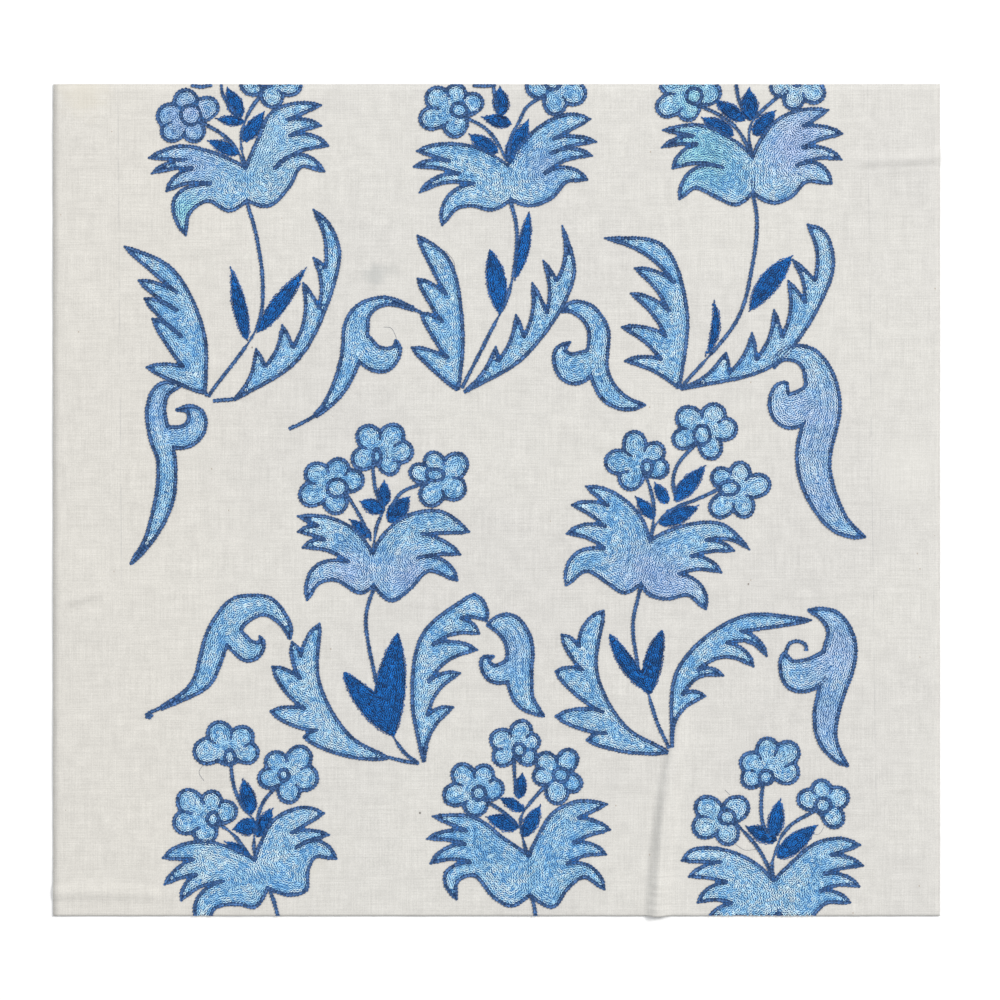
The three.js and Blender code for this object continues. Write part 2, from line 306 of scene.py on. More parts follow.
# ---- drawing rules -------------------------------------------------------------------------------
STEP = 0.8       # spacing of points along a drawn edge, and of the field grids
PITCH = 2.9      # chain rows of the fills, side to side
RIM = 2.15       # half the width of an outline row
SWELL = 0.8      # how far the stitches stand out over the drawn edge
OVER, UNDER = (0.08, 0.05), (-0.02, -0.05)   # bow of a finger's upper and lower edge as a share of its length: the first, and more for each one below


def spaced(points, step=STEP, closed=False):
    """Points at even steps along a polyline."""
    p = np.asarray(points, float)
    if closed:
        p = np.vstack([p, p[:1]])
    seg = np.hypot(*np.diff(p, axis=0).T)
    run = np.concatenate([[0.0], np.cumsum(seg)])
    n = max(2, int(round(run[-1] / step)) + (0 if closed else 1))
    at = np.linspace(0.0, run[-1], n, endpoint=not closed)
    return np.column_stack([np.interp(at, run, p[:, k]) for k in range(p.shape[1])])


def flow(points, n=14):
    """A smooth curve through some points (centripetal Catmull-Rom); extra columns come along."""
    p = np.asarray(points, float)
    if len(p) < 3:
        return spaced(p, 1.0)
    ends = np.vstack([2 * p[0] - p[1], p, 2 * p[-1] - p[-2]])
    out = []
    for i in range(1, len(ends) - 2):
        a, b, c, d = ends[i - 1:i + 3]
        ta, tb, tc = [max(1e-6, np.hypot(*(v - u)[:2])) ** 0.5 for u, v in ((a, b), (b, c), (c, d))]
        m1 = ((b - a) / ta - (c - a) / (ta + tb) + (c - b) / tb) * tb
        m2 = ((c - b) / tb - (d - b) / (tb + tc) + (d - c) / tc) * tb
        t = np.linspace(0, 1, n, endpoint=False)[:, None]
        out.append((2 * t**3 - 3 * t**2 + 1) * b + (t**3 - 2 * t**2 + t) * m1 + (3 * t**2 - 2 * t**3) * c + (t**3 - t**2) * m2)
    out.append(p[-1:])
    return np.vstack(out)


def bowed(p, q, bow, n=14):
    """An edge from p to q that swells to its right by bow times its length."""
    p, q = np.asarray(p, float), np.asarray(q, float)
    t = np.linspace(0, 1, n)[:, None]
    side = np.array([(q - p)[1], -(q - p)[0]])
    return p + t * (q - p) + 4 * t * (1 - t) * bow * side


def swelled(edge, s):
    """An edge moved out by the stitches' swell; s tells which side is out."""
    p = np.asarray(edge, float)
    d = np.gradient(p, axis=0)
    d /= np.maximum(1e-9, np.hypot(d[:, 0], d[:, 1]))[:, None]
    run = np.concatenate([[0.0], np.cumsum(np.hypot(*np.diff(p, axis=0).T))])
    out = SWELL * ease(np.minimum(run, run[-1] - run) / 10.0)[:, None]
    return p + s * out * np.column_stack([d[:, 1], -d[:, 0]])


def turning(points):
    """+1 where the outline turns so that its outside lies to the right of travel, else -1."""
    p = np.asarray(points, float)
    x, y = p[:, 0], p[:, 1]
    return 1.0 if np.sum(x * np.roll(y, -1) - np.roll(x, -1) * y) > 0 else -1.0


def wing(heart, foot, crest, fingers, claw, belly, scoop=UNDER[0]):
    s = turning([heart, *crest, *fingers, *belly, foot])
    edges = [flow([heart, *crest, fingers[0]])]
    for i in range(1, len(fingers)):
        to_tip = i % 2 == 0
        first, more = OVER if to_tip else UNDER
        bow = claw if to_tip and i == len(fingers) - 1 else first + more * ((i - 1) // 2)
        bow = scoop if i == 1 else bow
        edges.append(bowed(fingers[i - 1], fingers[i], s * bow))
    edges.append(flow([fingers[-1], *belly, foot]))
    return [swelled(e, s) for e in edges]


def leaf(tip, back, base, teeth, hollow, lip, brow, ends_on_tooth=False):
    s = turning([tip, *back, base, *teeth])
    edges = [flow([tip, *back, base])]
    last = base
    for i, t in enumerate(teeth):
        edges.append(bowed(last, t, s * (hollow if i % 2 == 0 else lip)))
        last = t
    edges.append(bowed(last, tip, s * brow))
    return [swelled(e, s) for e in edges]


def blade(x0, y0, x1, y1, bow1, bow2):
    return np.vstack([bowed((x0, y0), (x1, y1), -bow1), bowed((x1, y1), (x0, y0), -bow2)])


def pair(corners):
    s = turning([c[:2] for c in corners])
    pts = []
    for i in range(len(corners)):
        a, b = corners[i], corners[(i + 1) % len(corners)]
        pts.append(bowed(a[:2], b[:2], s * (b[2] if len(b) > 2 else 0.03)))
    return np.vstack(pts)


def sprig(x0, y0, x1, y1, width):
    """A small leaf from its tip to its foot, fullest towards the foot."""
    way = np.array([x1 - x0, y1 - y0], float)
    side = np.array([-way[1], way[0]]) / np.hypot(*way)
    t = np.linspace(0, 1, 17)
    half = (0.5 * width * np.sin(np.pi * t ** 1.25) ** (0.9 - 0.35 * t))[:, None]
    p = np.array([x0, y0], float) + t[:, None] * way
    return np.vstack([p + side * half, (p - side * half)[-2:0:-1]])


# ---- fields --------------------------------------------------------------------------------------
class Field:
    """Depth inside a shape, in view units, on a small grid: positive inside."""

    def __init__(self, lo, hi, step=STEP):
        self.lo = np.floor(np.asarray(lo, float) - 3)
        self.step = step
        n = np.ceil((np.asarray(hi, float) + 3 - self.lo) / step).astype(int) + 1
        self.x = self.lo[0] + step * np.arange(n[0])
        self.y = self.lo[1] + step * np.arange(n[1])
        self.gx, self.gy = np.meshgrid(self.x, self.y)
        self.v = None


def of_polygon(points):
    p = spaced(points, STEP, closed=True)
    f = Field(p.min(0), p.max(0))
    g = np.column_stack([f.gx.ravel(), f.gy.ravel()])
    inside = np.zeros(len(g), bool)
    q = np.roll(p, -1, axis=0)
    for a, b in zip(p, q):
        if a[1] == b[1]:
            continue
        hit = (g[:, 1] >= min(a[1], b[1])) & (g[:, 1] < max(a[1], b[1]))
        xs = a[0] + (g[hit, 1] - a[1]) * (b[0] - a[0]) / (b[1] - a[1])
        inside[np.nonzero(hit)[0][g[hit, 0] < xs]] ^= True
    d = nearest(g, p)
    f.v = np.where(inside, d, -d).reshape(f.gx.shape)
    return f, p


def nearest(g, p):
    d = np.empty(len(g))
    for i in range(0, len(g), 4096):
        c = g[i:i + 4096]
        d2 = (c[:, None, 0] - p[None, :, 0]) ** 2 + (c[:, None, 1] - p[None, :, 1]) ** 2
        d[i:i + 4096] = np.sqrt(d2.min(1))
    return d


def of_discs(discs):
    """Depth inside a union of discs (x, y, radius)."""
    d = np.asarray(discs, float)
    r = d[:, 2]
    f = Field((d[:, :2] - r[:, None]).min(0), (d[:, :2] + r[:, None]).max(0))
    v = np.full(f.gx.shape, -99.0)
    for x, y, w in d:
        v = np.maximum(v, w - np.hypot(f.gx - x, f.gy - y))
    f.v = v
    return f


def level_lines(f, v, level):
    """Polylines where the grid v crosses a level; closed ones repeat no point."""
    a = v - level
    a = np.where(np.abs(a) < 1e-9, 1e-9, a)
    up = a > 0
    ny, nx = a.shape
    key = up[:-1, :-1] * 1 + up[:-1, 1:] * 2 + up[1:, 1:] * 4 + up[1:, :-1] * 8
    rows, cols = np.nonzero((key > 0) & (key < 15))
    # edges of a cell: 0 top, 1 right, 2 bottom, 3 left
    table = {1: [(3, 0)], 2: [(0, 1)], 3: [(3, 1)], 4: [(1, 2)], 5: [(3, 0), (1, 2)], 6: [(0, 2)], 7: [(3, 2)],
             8: [(2, 3)], 9: [(2, 0)], 10: [(0, 1), (2, 3)], 11: [(2, 1)], 12: [(1, 3)], 13: [(1, 0)], 14: [(0, 3)]}
    links = {}
    spot = {}

    def edge(j, i, e):
        if e == 0:
            k = (j, i, 0)
            if k not in spot:
                t = a[j, i] / (a[j, i] - a[j, i + 1]); spot[k] = (f.x[i] + t * f.step, f.y[j])
        elif e == 2:
            k = (j + 1, i, 0)
            if k not in spot:
                t = a[j + 1, i] / (a[j + 1, i] - a[j + 1, i + 1]); spot[k] = (f.x[i] + t * f.step, f.y[j + 1])
        elif e == 3:
            k = (j, i, 1)
            if k not in spot:
                t = a[j, i] / (a[j, i] - a[j + 1, i]); spot[k] = (f.x[i], f.y[j] + t * f.step)
        else:
            k = (j, i + 1, 1)
            if k not in spot:
                t = a[j, i + 1] / (a[j, i + 1] - a[j + 1, i + 1]); spot[k] = (f.x[i + 1], f.y[j] + t * f.step)
        return k

    for j, i in zip(rows.tolist(), cols.tolist()):
        for e0, e1 in table[int(key[j, i])]:
            k0, k1 = edge(j, i, e0), edge(j, i, e1)
            links.setdefault(k0, []).append(k1)
            links.setdefault(k1, []).append(k0)
    lines = []
    seen = set()
    for start in sorted(links, key=lambda k: len(links[k])):
        if start in seen:
            continue
        line = [start]
        seen.add(start)
        here = start
        while True:
            nxt = [k for k in links[here] if k not in seen]
            if not nxt:
                break
            here = nxt[0]
            seen.add(here)
            line.append(here)
        closed = len(line) > 3 and start in links[here]
        lines.append((np.array([spot[k] for k in line]), closed))
    return lines
# ---- laying the chain rows -----------------------------------------------------------------------
LINK = 3.1            # spacing of links along a fill row
RIM_LINK = 3.3        # and along an outline or stem
SOLID_PITCH = 2.7     # rows of the dark leaves
FRAME_LO, FRAME_HI = (53.6, 84.6), (939.4, 915.4)   # the cut cloth in the view, a hair inside


class Rows:
    """Chain links collected for one piece: centre x, y, direction, length, width, row, kind (0 a line,
    -1 a line in the leaves' blue, 1 a filled leaf, 2 its outer row)."""

    def __init__(self):
        self.items = []
        self.tips = []
        self.row = 0

    def lay(self, line, closed, spacing, width, kind=0):
        length = np.sum(np.hypot(*np.diff(np.vstack([line, line[:1]]) if closed else line, axis=0).T))
        if length < 1.6:
            return
        n = max(2 if not closed else 3, int(round(length / spacing)) + (0 if closed else 1))
        fine = spaced(line, 0.5, closed)
        if closed:
            fine = np.vstack([fine, fine[:1]])
        seg = np.hypot(*np.diff(fine, axis=0).T)
        run = np.concatenate([[0.0], np.cumsum(seg)])
        at = np.linspace(0, run[-1], n + 1) if closed else np.linspace(0, run[-1], n)
        p = np.column_stack([np.interp(at, run, fine[:, k]) for k in (0, 1)])
        d = np.diff(p, axis=0)
        m = p[:-1] + 0.5 * d
        size = np.hypot(d[:, 0], d[:, 1])
        self.items.append(np.column_stack([m, np.arctan2(d[:, 1], d[:, 0]), size, np.full(len(m), width), np.full(len(m), float(self.row)), np.full(len(m), float(kind))]))
        self.row += 1

    def single(self, x, y, angle, spacing, width, kind=0):
        self.items.append(np.array([[x, y, angle, spacing, width, float(self.row), float(kind)]]))
        self.row += 1

    def all(self):
        a = np.vstack(self.items) if self.items else np.zeros((0, 7))
        if self.tips:
            # rows draw together where two edges run out into a tip
            d = closest(a[:, :2], np.array(self.tips, float))[0]
            t = np.clip(d / 10.0, 0, 1)
            a[:, 4] *= 0.42 + 0.58 * t * t * (3 - 2 * t)
        keep = (a[:, 0] > FRAME_LO[0]) & (a[:, 0] < FRAME_HI[0]) & (a[:, 1] > FRAME_LO[1]) & (a[:, 1] < FRAME_HI[1])
        return a[keep]


def closest(g, p):
    d = np.empty(len(g))
    who = np.empty(len(g), int)
    for i in range(0, len(g), 2048):
        c = g[i:i + 2048]
        d2 = (c[:, None, 0] - p[None, :, 0]) ** 2 + (c[:, None, 1] - p[None, :, 1]) ** 2
        who[i:i + 2048] = d2.argmin(1)
        d[i:i + 2048] = np.sqrt(d2.min(1))
    return d, who


def fill(rows, f, depth, first, pitch, spacing, width, guide, reach, kind=0):
    """Rows that follow the shape's edge inwards, and single links where they leave a gap."""
    top = depth.max()
    level = first
    before = len(rows.items)
    while level < top - 0.12:
        for line, closed in level_lines(f, depth, level):
            if len(line) > 3:
                rows.lay(line, closed, spacing, width, 2 if kind == 1 and level == first else kind)
        level += pitch
    laid = rows.items[before:]
    # what the rows leave open, mostly along the middle
    open_at = np.nonzero((depth > reach).ravel())[0]
    if not len(open_at):
        return
    g = np.column_stack([f.gx.ravel()[open_at], f.gy.ravel()[open_at]])
    way = np.roll(guide, -1, axis=0) - np.roll(guide, 1, axis=0)
    way[0], way[-1] = way[1], way[-2]
    way = np.arctan2(way[:, 1], way[:, 0])
    angle = way[closest(g, guide)[1]]
    far = np.full(len(g), 9.0)
    if laid:
        links = np.vstack(laid)
        ax = 0.5 * links[:, 3:4] * np.column_stack([np.cos(links[:, 2]), np.sin(links[:, 2])])
        far = closest(g, np.vstack([links[:, :2] - ax, links[:, :2], links[:, :2] + ax]))[0]
    order = np.argsort(-far)
    for i in order:
        if far[i] < 0.55 * pitch:
            continue
        x, y, t = g[i, 0], g[i, 1], angle[i]
        rows.single(x, y, t, spacing, width, kind)
        along = (g[:, 0] - x) * math.cos(t) + (g[:, 1] - y) * math.sin(t)
        over = np.clip(np.abs(along) - 0.5 * spacing, 0, None)
        across = np.abs(-(g[:, 0] - x) * math.sin(t) + (g[:, 1] - y) * math.cos(t))
        far = np.minimum(far, np.hypot(over, across))


def wedge(rows, a, b):
    """A row that closes the narrow end between two edges running out from one point."""
    a, b = spaced(a, 0.5), spaced(b, 0.5)
    n = min(len(a), len(b))
    gap = np.hypot(*(a[:n] - b[:n]).T)
    wide = np.nonzero((gap > 5.4) | (np.arange(n) > 34))[0]
    mid = 0.5 * (a[:n] + b[:n])[:wide[0] if len(wide) else n]
    mid = mid[gap[:len(mid)] > 2.0]
    if len(mid) > 4:
        rows.lay(mid, False, RIM_LINK, 2 * RIM, -1)


def ring_line(cx, cy, rx, ry):
    t = np.linspace(0, 2 * math.pi, 40, endpoint=False)
    return np.column_stack([cx + rx * np.cos(t), cy + ry * np.sin(t)])


def bloom_discs(b):
    """A petal is a row of discs out from the flower's middle, a rounded club."""
    cx, cy = b["at"]
    out = []
    for angle, reach, radius in b["petals"]:
        a = math.radians(angle)
        for share, fat in ((0.50, 0.78), (0.65, 0.85), (0.80, 0.91), (0.94, 0.94), (1.06, 0.88)):
            out.append((cx + share * reach * math.cos(a), cy - share * reach * math.sin(a), fat * radius + SWELL))
    return out


def clefts(b):
    """Short lines from where two neighbouring petals meet, in towards the ring."""
    petals = sorted(b["petals"], key=lambda p: p[0] % 360)
    at, ring = np.array(b["at"], float), np.array(b["ring"][:2], float)
    out = []
    for (a0, _, r0), (a1, _, r1) in zip(petals, petals[1:] + petals[:1]):
        half = 0.5 * math.radians((a1 - a0) % 360)
        if half > 1.0:
            continue
        mid = math.radians(a0) + half
        far = min(21.0, 0.45 * (r0 + r1) / math.sin(half))
        start = at + far * np.array([math.cos(mid), -math.sin(mid)])
        way = ring - start
        gap = math.hypot(*way)
        room = gap - 0.5 * (b["ring"][2] + b["ring"][3])
        if room > 3:
            out.append(np.array([start, start + way / gap * room * 0.4]))
    return out


def stroke_discs(rows):
    p = spaced(flow(rows, 18), 0.7)
    p[:, 2] += SWELL * np.clip((p[:, 2] - 1) / 5, 0, 1)
    return p


def draw_pattern():
    """Light fills, dark outlines and dark leaves of every motif: {piece: {"light", "dark", "bed"}}."""
    pieces = {}
    for name, s in SPRAYS.items():
        light, dark, beds, solids = Rows(), Rows(), [], []
        zones = []
        middle = np.linspace(s["heart"], s["foot"], 60)
        wings = {side: wing(s["heart"], s["foot"], **s[side]) for side in ("left", "right")}
        f, _ = of_polygon(np.vstack(wings["left"] + [e[::-1] for e in wings["right"][::-1]]))
        beds.append((f, f.v))
        for side, edges in wings.items():
            edge = np.vstack(edges)
            f, _ = of_polygon(edge)
            rim = spaced(edge, STEP)
            g = np.column_stack([f.gx.ravel(), f.gy.ravel()])
            d_rim = nearest(g, rim).reshape(f.gx.shape)
            d_mid = nearest(g, middle).reshape(f.gx.shape) + RIM
            depth = np.where(f.v > 0, np.minimum(d_rim, d_mid), -np.abs(f.v))
            a = len(light.items)
            fill(light, f, depth, RIM + 0.5 * PITCH - 0.2, PITCH, LINK, PITCH + 0.3, rim, RIM + 0.8)
            zones.append((side, a, len(light.items)))
            for e in edges:
                dark.lay(spaced(e), False, RIM_LINK, 2 * RIM)
            for i in range(1, len(edges) - 1, 2):
                wedge(dark, edges[i][::-1], edges[i + 1])
            dark.tips += s[side]["fingers"][0::2]
        wedge(dark, wings["left"][0], wings["right"][0])
        for k, t in enumerate(s["leaves"]):
            edges = leaf(**t)
            f, p = of_polygon(np.vstack(edges))
            a = len(light.items)
            fill(light, f, f.v, RIM + 0.5 * PITCH - 0.2, PITCH, LINK, PITCH + 0.3, p, RIM + 0.8)
            zones.append(("leaf%d" % k, a, len(light.items)))
            beds.append((f, f.v))
            for e in edges:
                dark.lay(spaced(e), False, RIM_LINK, 2 * RIM)
            for i in range(2, len(edges) - 1, 2):
                wedge(dark, edges[i][::-1], edges[i + 1])
            dark.tips += [t["tip"], *t["teeth"][0::2]]
        for k, b in enumerate(s["blooms"]):
            discs = bloom_discs(b)
            f = of_discs(discs + [(b["at"][0], b["at"][1], 1.1 * min(p[2] for p in b["petals"])), (b["ring"][0], b["ring"][1], 0.5 * (b["ring"][2] + b["ring"][3]) + 0.4)])
            ring = ring_line(*b["ring"])
            g = np.column_stack([f.gx.ravel(), f.gy.ravel()])
            d_ring = nearest(g, ring).reshape(f.gx.shape)
            parting = clefts(b)
            for line in parting:
                d_ring = np.minimum(d_ring, nearest(g, spaced(line, 0.5)).reshape(f.gx.shape) + 0.6)
            depth = np.where(f.v > 0, np.minimum(f.v, d_ring), f.v)
            a = len(light.items)
            edge = max((line for line, _ in level_lines(f, f.v, 0.0)), key=len)
            fill(light, f, depth, RIM + 0.5 * PITCH - 0.2, PITCH, LINK, PITCH + 0.3, np.vstack([edge, ring]), RIM + 0.8)
            zones.append(("bloom%d" % k, a, len(light.items)))
            beds.append((f, f.v))
            for line, closed in level_lines(f, f.v, 0.0):
                if len(line) > 20:
                    dark.lay(line, closed, RIM_LINK, 2 * RIM)
            dark.lay(ring, True, RIM_LINK, 1.75 * RIM)
            for line in parting:
                dark.lay(line, False, RIM_LINK, 1.5 * RIM)
        for shape in [blade(*t) for t in s["blades"]] + [pair(t) for t in s["pairs"]] + [sprig(*t) for t in s["sprigs"]]:
            f, p = of_polygon(shape)
            fill(dark, f, f.v, 0.8, SOLID_PITCH, LINK, SOLID_PITCH + 0.6, p, 0.9, 1)
            solids.append((f, f.v))
        for x0, y0, x1, y1, *_ in s["blades"] + s["sprigs"]:
            # the ends run out in a thin row
            ends = np.array([[x0, y0], [x1, y1]], float)
            way = (ends[1] - ends[0]) / np.hypot(*(ends[1] - ends[0]))
            dark.lay(spaced([ends[0], ends[0] + 6 * way]), False, LINK, SOLID_PITCH + 0.6, 2)
            dark.lay(spaced([ends[1], ends[1] - 6 * way]), False, LINK, SOLID_PITCH + 0.6, 2)
            dark.tips += [tuple(e) for e in ends]
        dark.tips += [t[:2] for p in s["pairs"] for t in p]
        for line in s["stems"]:
            dark.lay(flow(line), False, RIM_LINK, 2 * RIM)
        pieces[name] = dict(light=light, dark=dark, beds=beds, solids=solids, zones=zones)
    for name, s in SCROLLS.items():
        light, dark, beds, solids = Rows(), Rows(), [], []
        f = of_discs(np.vstack([stroke_discs(s["body"]), stroke_discs(s["hook"])]))
        edge = max((line for line, _ in level_lines(f, f.v, 0.0)), key=len)
        fill(light, f, f.v, RIM + 0.5 * PITCH - 0.2, PITCH, LINK, PITCH + 0.3, edge, RIM + 0.8)
        zones = [("scroll", 0, len(light.items))]
        beds.append((f, f.v))
        for line, closed in level_lines(f, f.v, 0.0):
            if len(line) > 20:
                dark.lay(line, closed, RIM_LINK, 2 * RIM)
        ends = [s["body"][0][:2], s["body"][-1][:2], s["hook"][-1][:2]]
        goes_on = [q for line in s["lines"] for q in (line[0], line[-1])]
        dark.tips += [e for e in ends if all(math.dist(e, q) > 12 for q in goes_on)]
        for line in s["lines"]:
            dark.lay(flow(line), False, RIM_LINK, 2 * RIM)
        pieces[name] = dict(light=light, dark=dark, beds=beds, solids=solids, zones=zones)
    return pieces


# ---- colours -------------------------------------------------------------------------------------
DEEP, MID, SKY, PALE = linear(118, 183, 235), linear(164, 218, 252), linear(192, 233, 254), linear(222, 246, 255)
PERI, TURQ = linear(196, 210, 249), linear(160, 232, 240)
NAVY, ROYAL, INK = linear(40, 82, 136), linear(12, 99, 177), linear(20, 48, 94)
LOOP_HIGHLIGHT = linear(92, 134, 190)        # painted highlight: the middle of an outline row, where the light catches the loops
FILL_SHADE, OUTLINE_SHADE = linear(48, 102, 158), linear(20, 52, 102)   # painted shade under the fills, and darker painted shade under the outlines

# Soft patches of other dye lots: x, y, reach (drawing units), colour, strength.
DYE_LOTS = [
    (187, 116, 30, PERI, 0.46), (196, 166, 30, PERI, 0.28), (188, 212, 22, TURQ, 0.7), (545, 166, 26, PERI, 0.28),
    (700, 158, 42, TURQ, 0.45), (790, 150, 34, PERI, 0.46), (806, 128, 26, PERI, 0.37), (350, 577, 34, PERI, 0.37),
    (408, 575, 28, PERI, 0.43), (304, 590, 16, PERI, 0.31), (644, 576, 38, PERI, 0.40), (676, 588, 30, PERI, 0.34),
    (168, 410, 34, PERI, 0.25), (812, 420, 60, PERI, 0.34), (822, 500, 40, PERI, 0.28), (836, 650, 44, PERI, 0.37),
    (826, 720, 40, PERI, 0.31), (510, 650, 30, PERI, 0.19), (690, 100, 26, TURQ, 0.35), (262, 150, 30, SKY, 0.4),
]


def smooth_noise(x, y, scale, seed):
    """Soft value noise, about 0 to 1, over the drawing frame."""
    r = np.random.default_rng(seed)
    n = int(1000 / scale) + 4
    g = r.random((n, n))
    u, v = np.clip(x / scale, 0, n - 2.001), np.clip(y / scale, 0, n - 2.001)
    i, j = u.astype(int), v.astype(int)
    a, b = ease(u - i), ease(v - j)
    return (g[j, i] * (1 - a) + g[j, i + 1] * a) * (1 - b) + (g[j + 1, i] * (1 - a) + g[j + 1, i + 1] * a) * b


def light_tones(rows, rng):
    x, y, row = rows[:, 0], rows[:, 1], rows[:, 5].astype(int)
    t = 0.34 * smooth_noise(x, y, 34, 3) + 0.40 * smooth_noise(x, y, 11, 4) + 0.13
    t = t + 0.30 * (rng.random(row.max() + 1)[row] - 0.5) + 0.74 * (rng.random(len(x)) - 0.5) + 0.04
    t = np.clip((t - 0.5) * 1.4 + 0.5, 0, 1)[:, None]
    c = np.where(t < 0.34, DEEP + (MID - DEEP) * (t / 0.34), np.where(t < 0.72, MID + (SKY - MID) * ((t - 0.34) / 0.38), SKY + (PALE - SKY) * ((t - 0.72) / 0.28)))
    for px, py, reach, dye, strength in DYE_LOTS:
        w = min(0.85, 1.6 * strength) * np.exp(-((x - px) ** 2 + (y - py) ** 2) / (0.8 * reach) ** 2)[:, None]
        w = w * (0.55 + 0.9 * smooth_noise(x, y, 9, 5)[:, None]).clip(0, 1)
        shade = (c.mean(1, keepdims=True) / SKY.mean())
        c = c + (dye * (0.45 + 0.55 * shade) - c) * w
    return c


def dark_tones(rows, rng):
    x, y, row = rows[:, 0], rows[:, 1], rows[:, 5].astype(int)
    solid = ((rows[:, 6] < -0.5) | (np.abs(rows[:, 6] - 1) < 0.5))[:, None]
    t = (0.45 * smooth_noise(x, y, 26, 6) + 0.55 * rng.random(len(x)))[:, None]
    line = INK + (NAVY - INK) * t * 1.25
    leafy = ROYAL * (0.30 + 1.32 * (0.25 * smooth_noise(x, y, 26, 6) + 0.75 * rng.random(len(x)))[:, None])
    line = np.where(rows[:, 6:7] > 1.5, 0.5 * (line + leafy), line)
    return np.where(solid, leafy, line) * (0.88 + 0.24 * rng.random(row.max() + 1)[row])[:, None]


# ---- meshes from arrays --------------------------------------------------------------------------
def mesh_object(name, verts, tris, tones=None, bake=None, twist=None, normals=None):
    """A mesh object from triangles; tones and normals are per vertex, bake and twist per corner."""
    me = bpy.data.meshes.new(name)
    me.vertices.add(len(verts))
    me.vertices.foreach_set("co", (np.asarray(verts, np.float32) * 0.001).ravel())
    me.loops.add(tris.size)
    me.loops.foreach_set("vertex_index", np.ascontiguousarray(tris, np.int32).ravel())
    me.polygons.add(len(tris))
    me.polygons.foreach_set("loop_start", np.arange(0, tris.size, 3, dtype=np.int32))
    me.polygons.foreach_set("use_smooth", np.ones(len(tris), bool))
    me.update(calc_edges=True)
    if bake is not None:
        me.uv_layers.new(name="OFBake").data.foreach_set("uv", np.ascontiguousarray(bake, np.float32).ravel())
    if twist is not None:
        me.uv_layers.new(name="thread").data.foreach_set("uv", np.ascontiguousarray(twist, np.float32).ravel())
    if tones is not None:
        a = me.attributes.new("tone", "FLOAT_COLOR", "POINT")
        a.data.foreach_set("color", np.column_stack([tones, np.ones(len(tones))]).astype(np.float32).ravel())
    if normals is not None:
        a = me.attributes.new("custom_normal", "FLOAT_VECTOR", "POINT")
        a.data.foreach_set("vector", np.ascontiguousarray(normals, np.float32).ravel())
    me.validate()
    ob = bpy.data.objects.new(name, me)
    bpy.context.scene.collection.objects.link(ob)
    return ob


# One leg of a link: a closed spindle of two rings between two points.
RING = [(math.cos(a), math.sin(a) + 0.25) for a in (math.pi * 5 / 6, math.pi * 9 / 6, math.pi / 6)]
LEG_TRIS = []
LEG_BAKE = []
LEG_TWIST = []
for _k in range(3):
    _n = (_k + 1) % 3
    _rows = ((_k + 0.06) / 3, (_k + 0.94) / 3)
    _lo, _hi, _mid = _rows[0], _rows[1], 0.5 * (_rows[0] + _rows[1])
    LEG_TRIS += [(0, 1 + _n, 1 + _k), (1 + _k, 1 + _n, 4 + _n), (1 + _k, 4 + _n, 4 + _k), (4 + _k, 4 + _n, 7)]
    LEG_BAKE += [[(0.03, _mid), (0.34, _hi), (0.34, _lo)], [(0.34, _lo), (0.34, _hi), (0.66, _hi)], [(0.34, _lo), (0.66, _hi), (0.66, _lo)], [(0.66, _lo), (0.66, _hi), (0.97, _mid)]]
    _a, _b, _c = _k / 3, (_k + 1) / 3, (_k + 0.5) / 3
    LEG_TWIST += [[(0.0, _c), (0.32, _b), (0.32, _a)], [(0.32, _a), (0.32, _b), (0.70, _b)], [(0.32, _a), (0.70, _b), (0.70, _a)], [(0.70, _a), (0.70, _b), (1.0, _c)]]
LEG_TRIS, LEG_BAKE, LEG_TWIST = [np.array(a)[:, ::-1] for a in (LEG_TRIS, LEG_BAKE, LEG_TWIST)]   # faces outwards


def on_cloth(px, py):
    """A place in mm, where a row that runs over the cut edge ends at it."""
    x, y = to_mm(px, py)
    return np.clip(x, 0.14 - CLOTH_WIDTH / 2, CLOTH_WIDTH / 2 - 0.14), np.clip(y, 0.14 - CLOTH_LENGTH / 2, CLOTH_LENGTH / 2 - 0.14)


def upward(x, y):
    """Unit normals of the cloth's face."""
    gx = face(x + 0.6, y) - face(x - 0.6, y)
    gy = face(x, y + 0.6) - face(x, y - 0.6)
    n = np.column_stack([-gx / 1.2, -gy / 1.2, np.ones(len(x))])
    return n / np.linalg.norm(n, axis=1)[:, None]


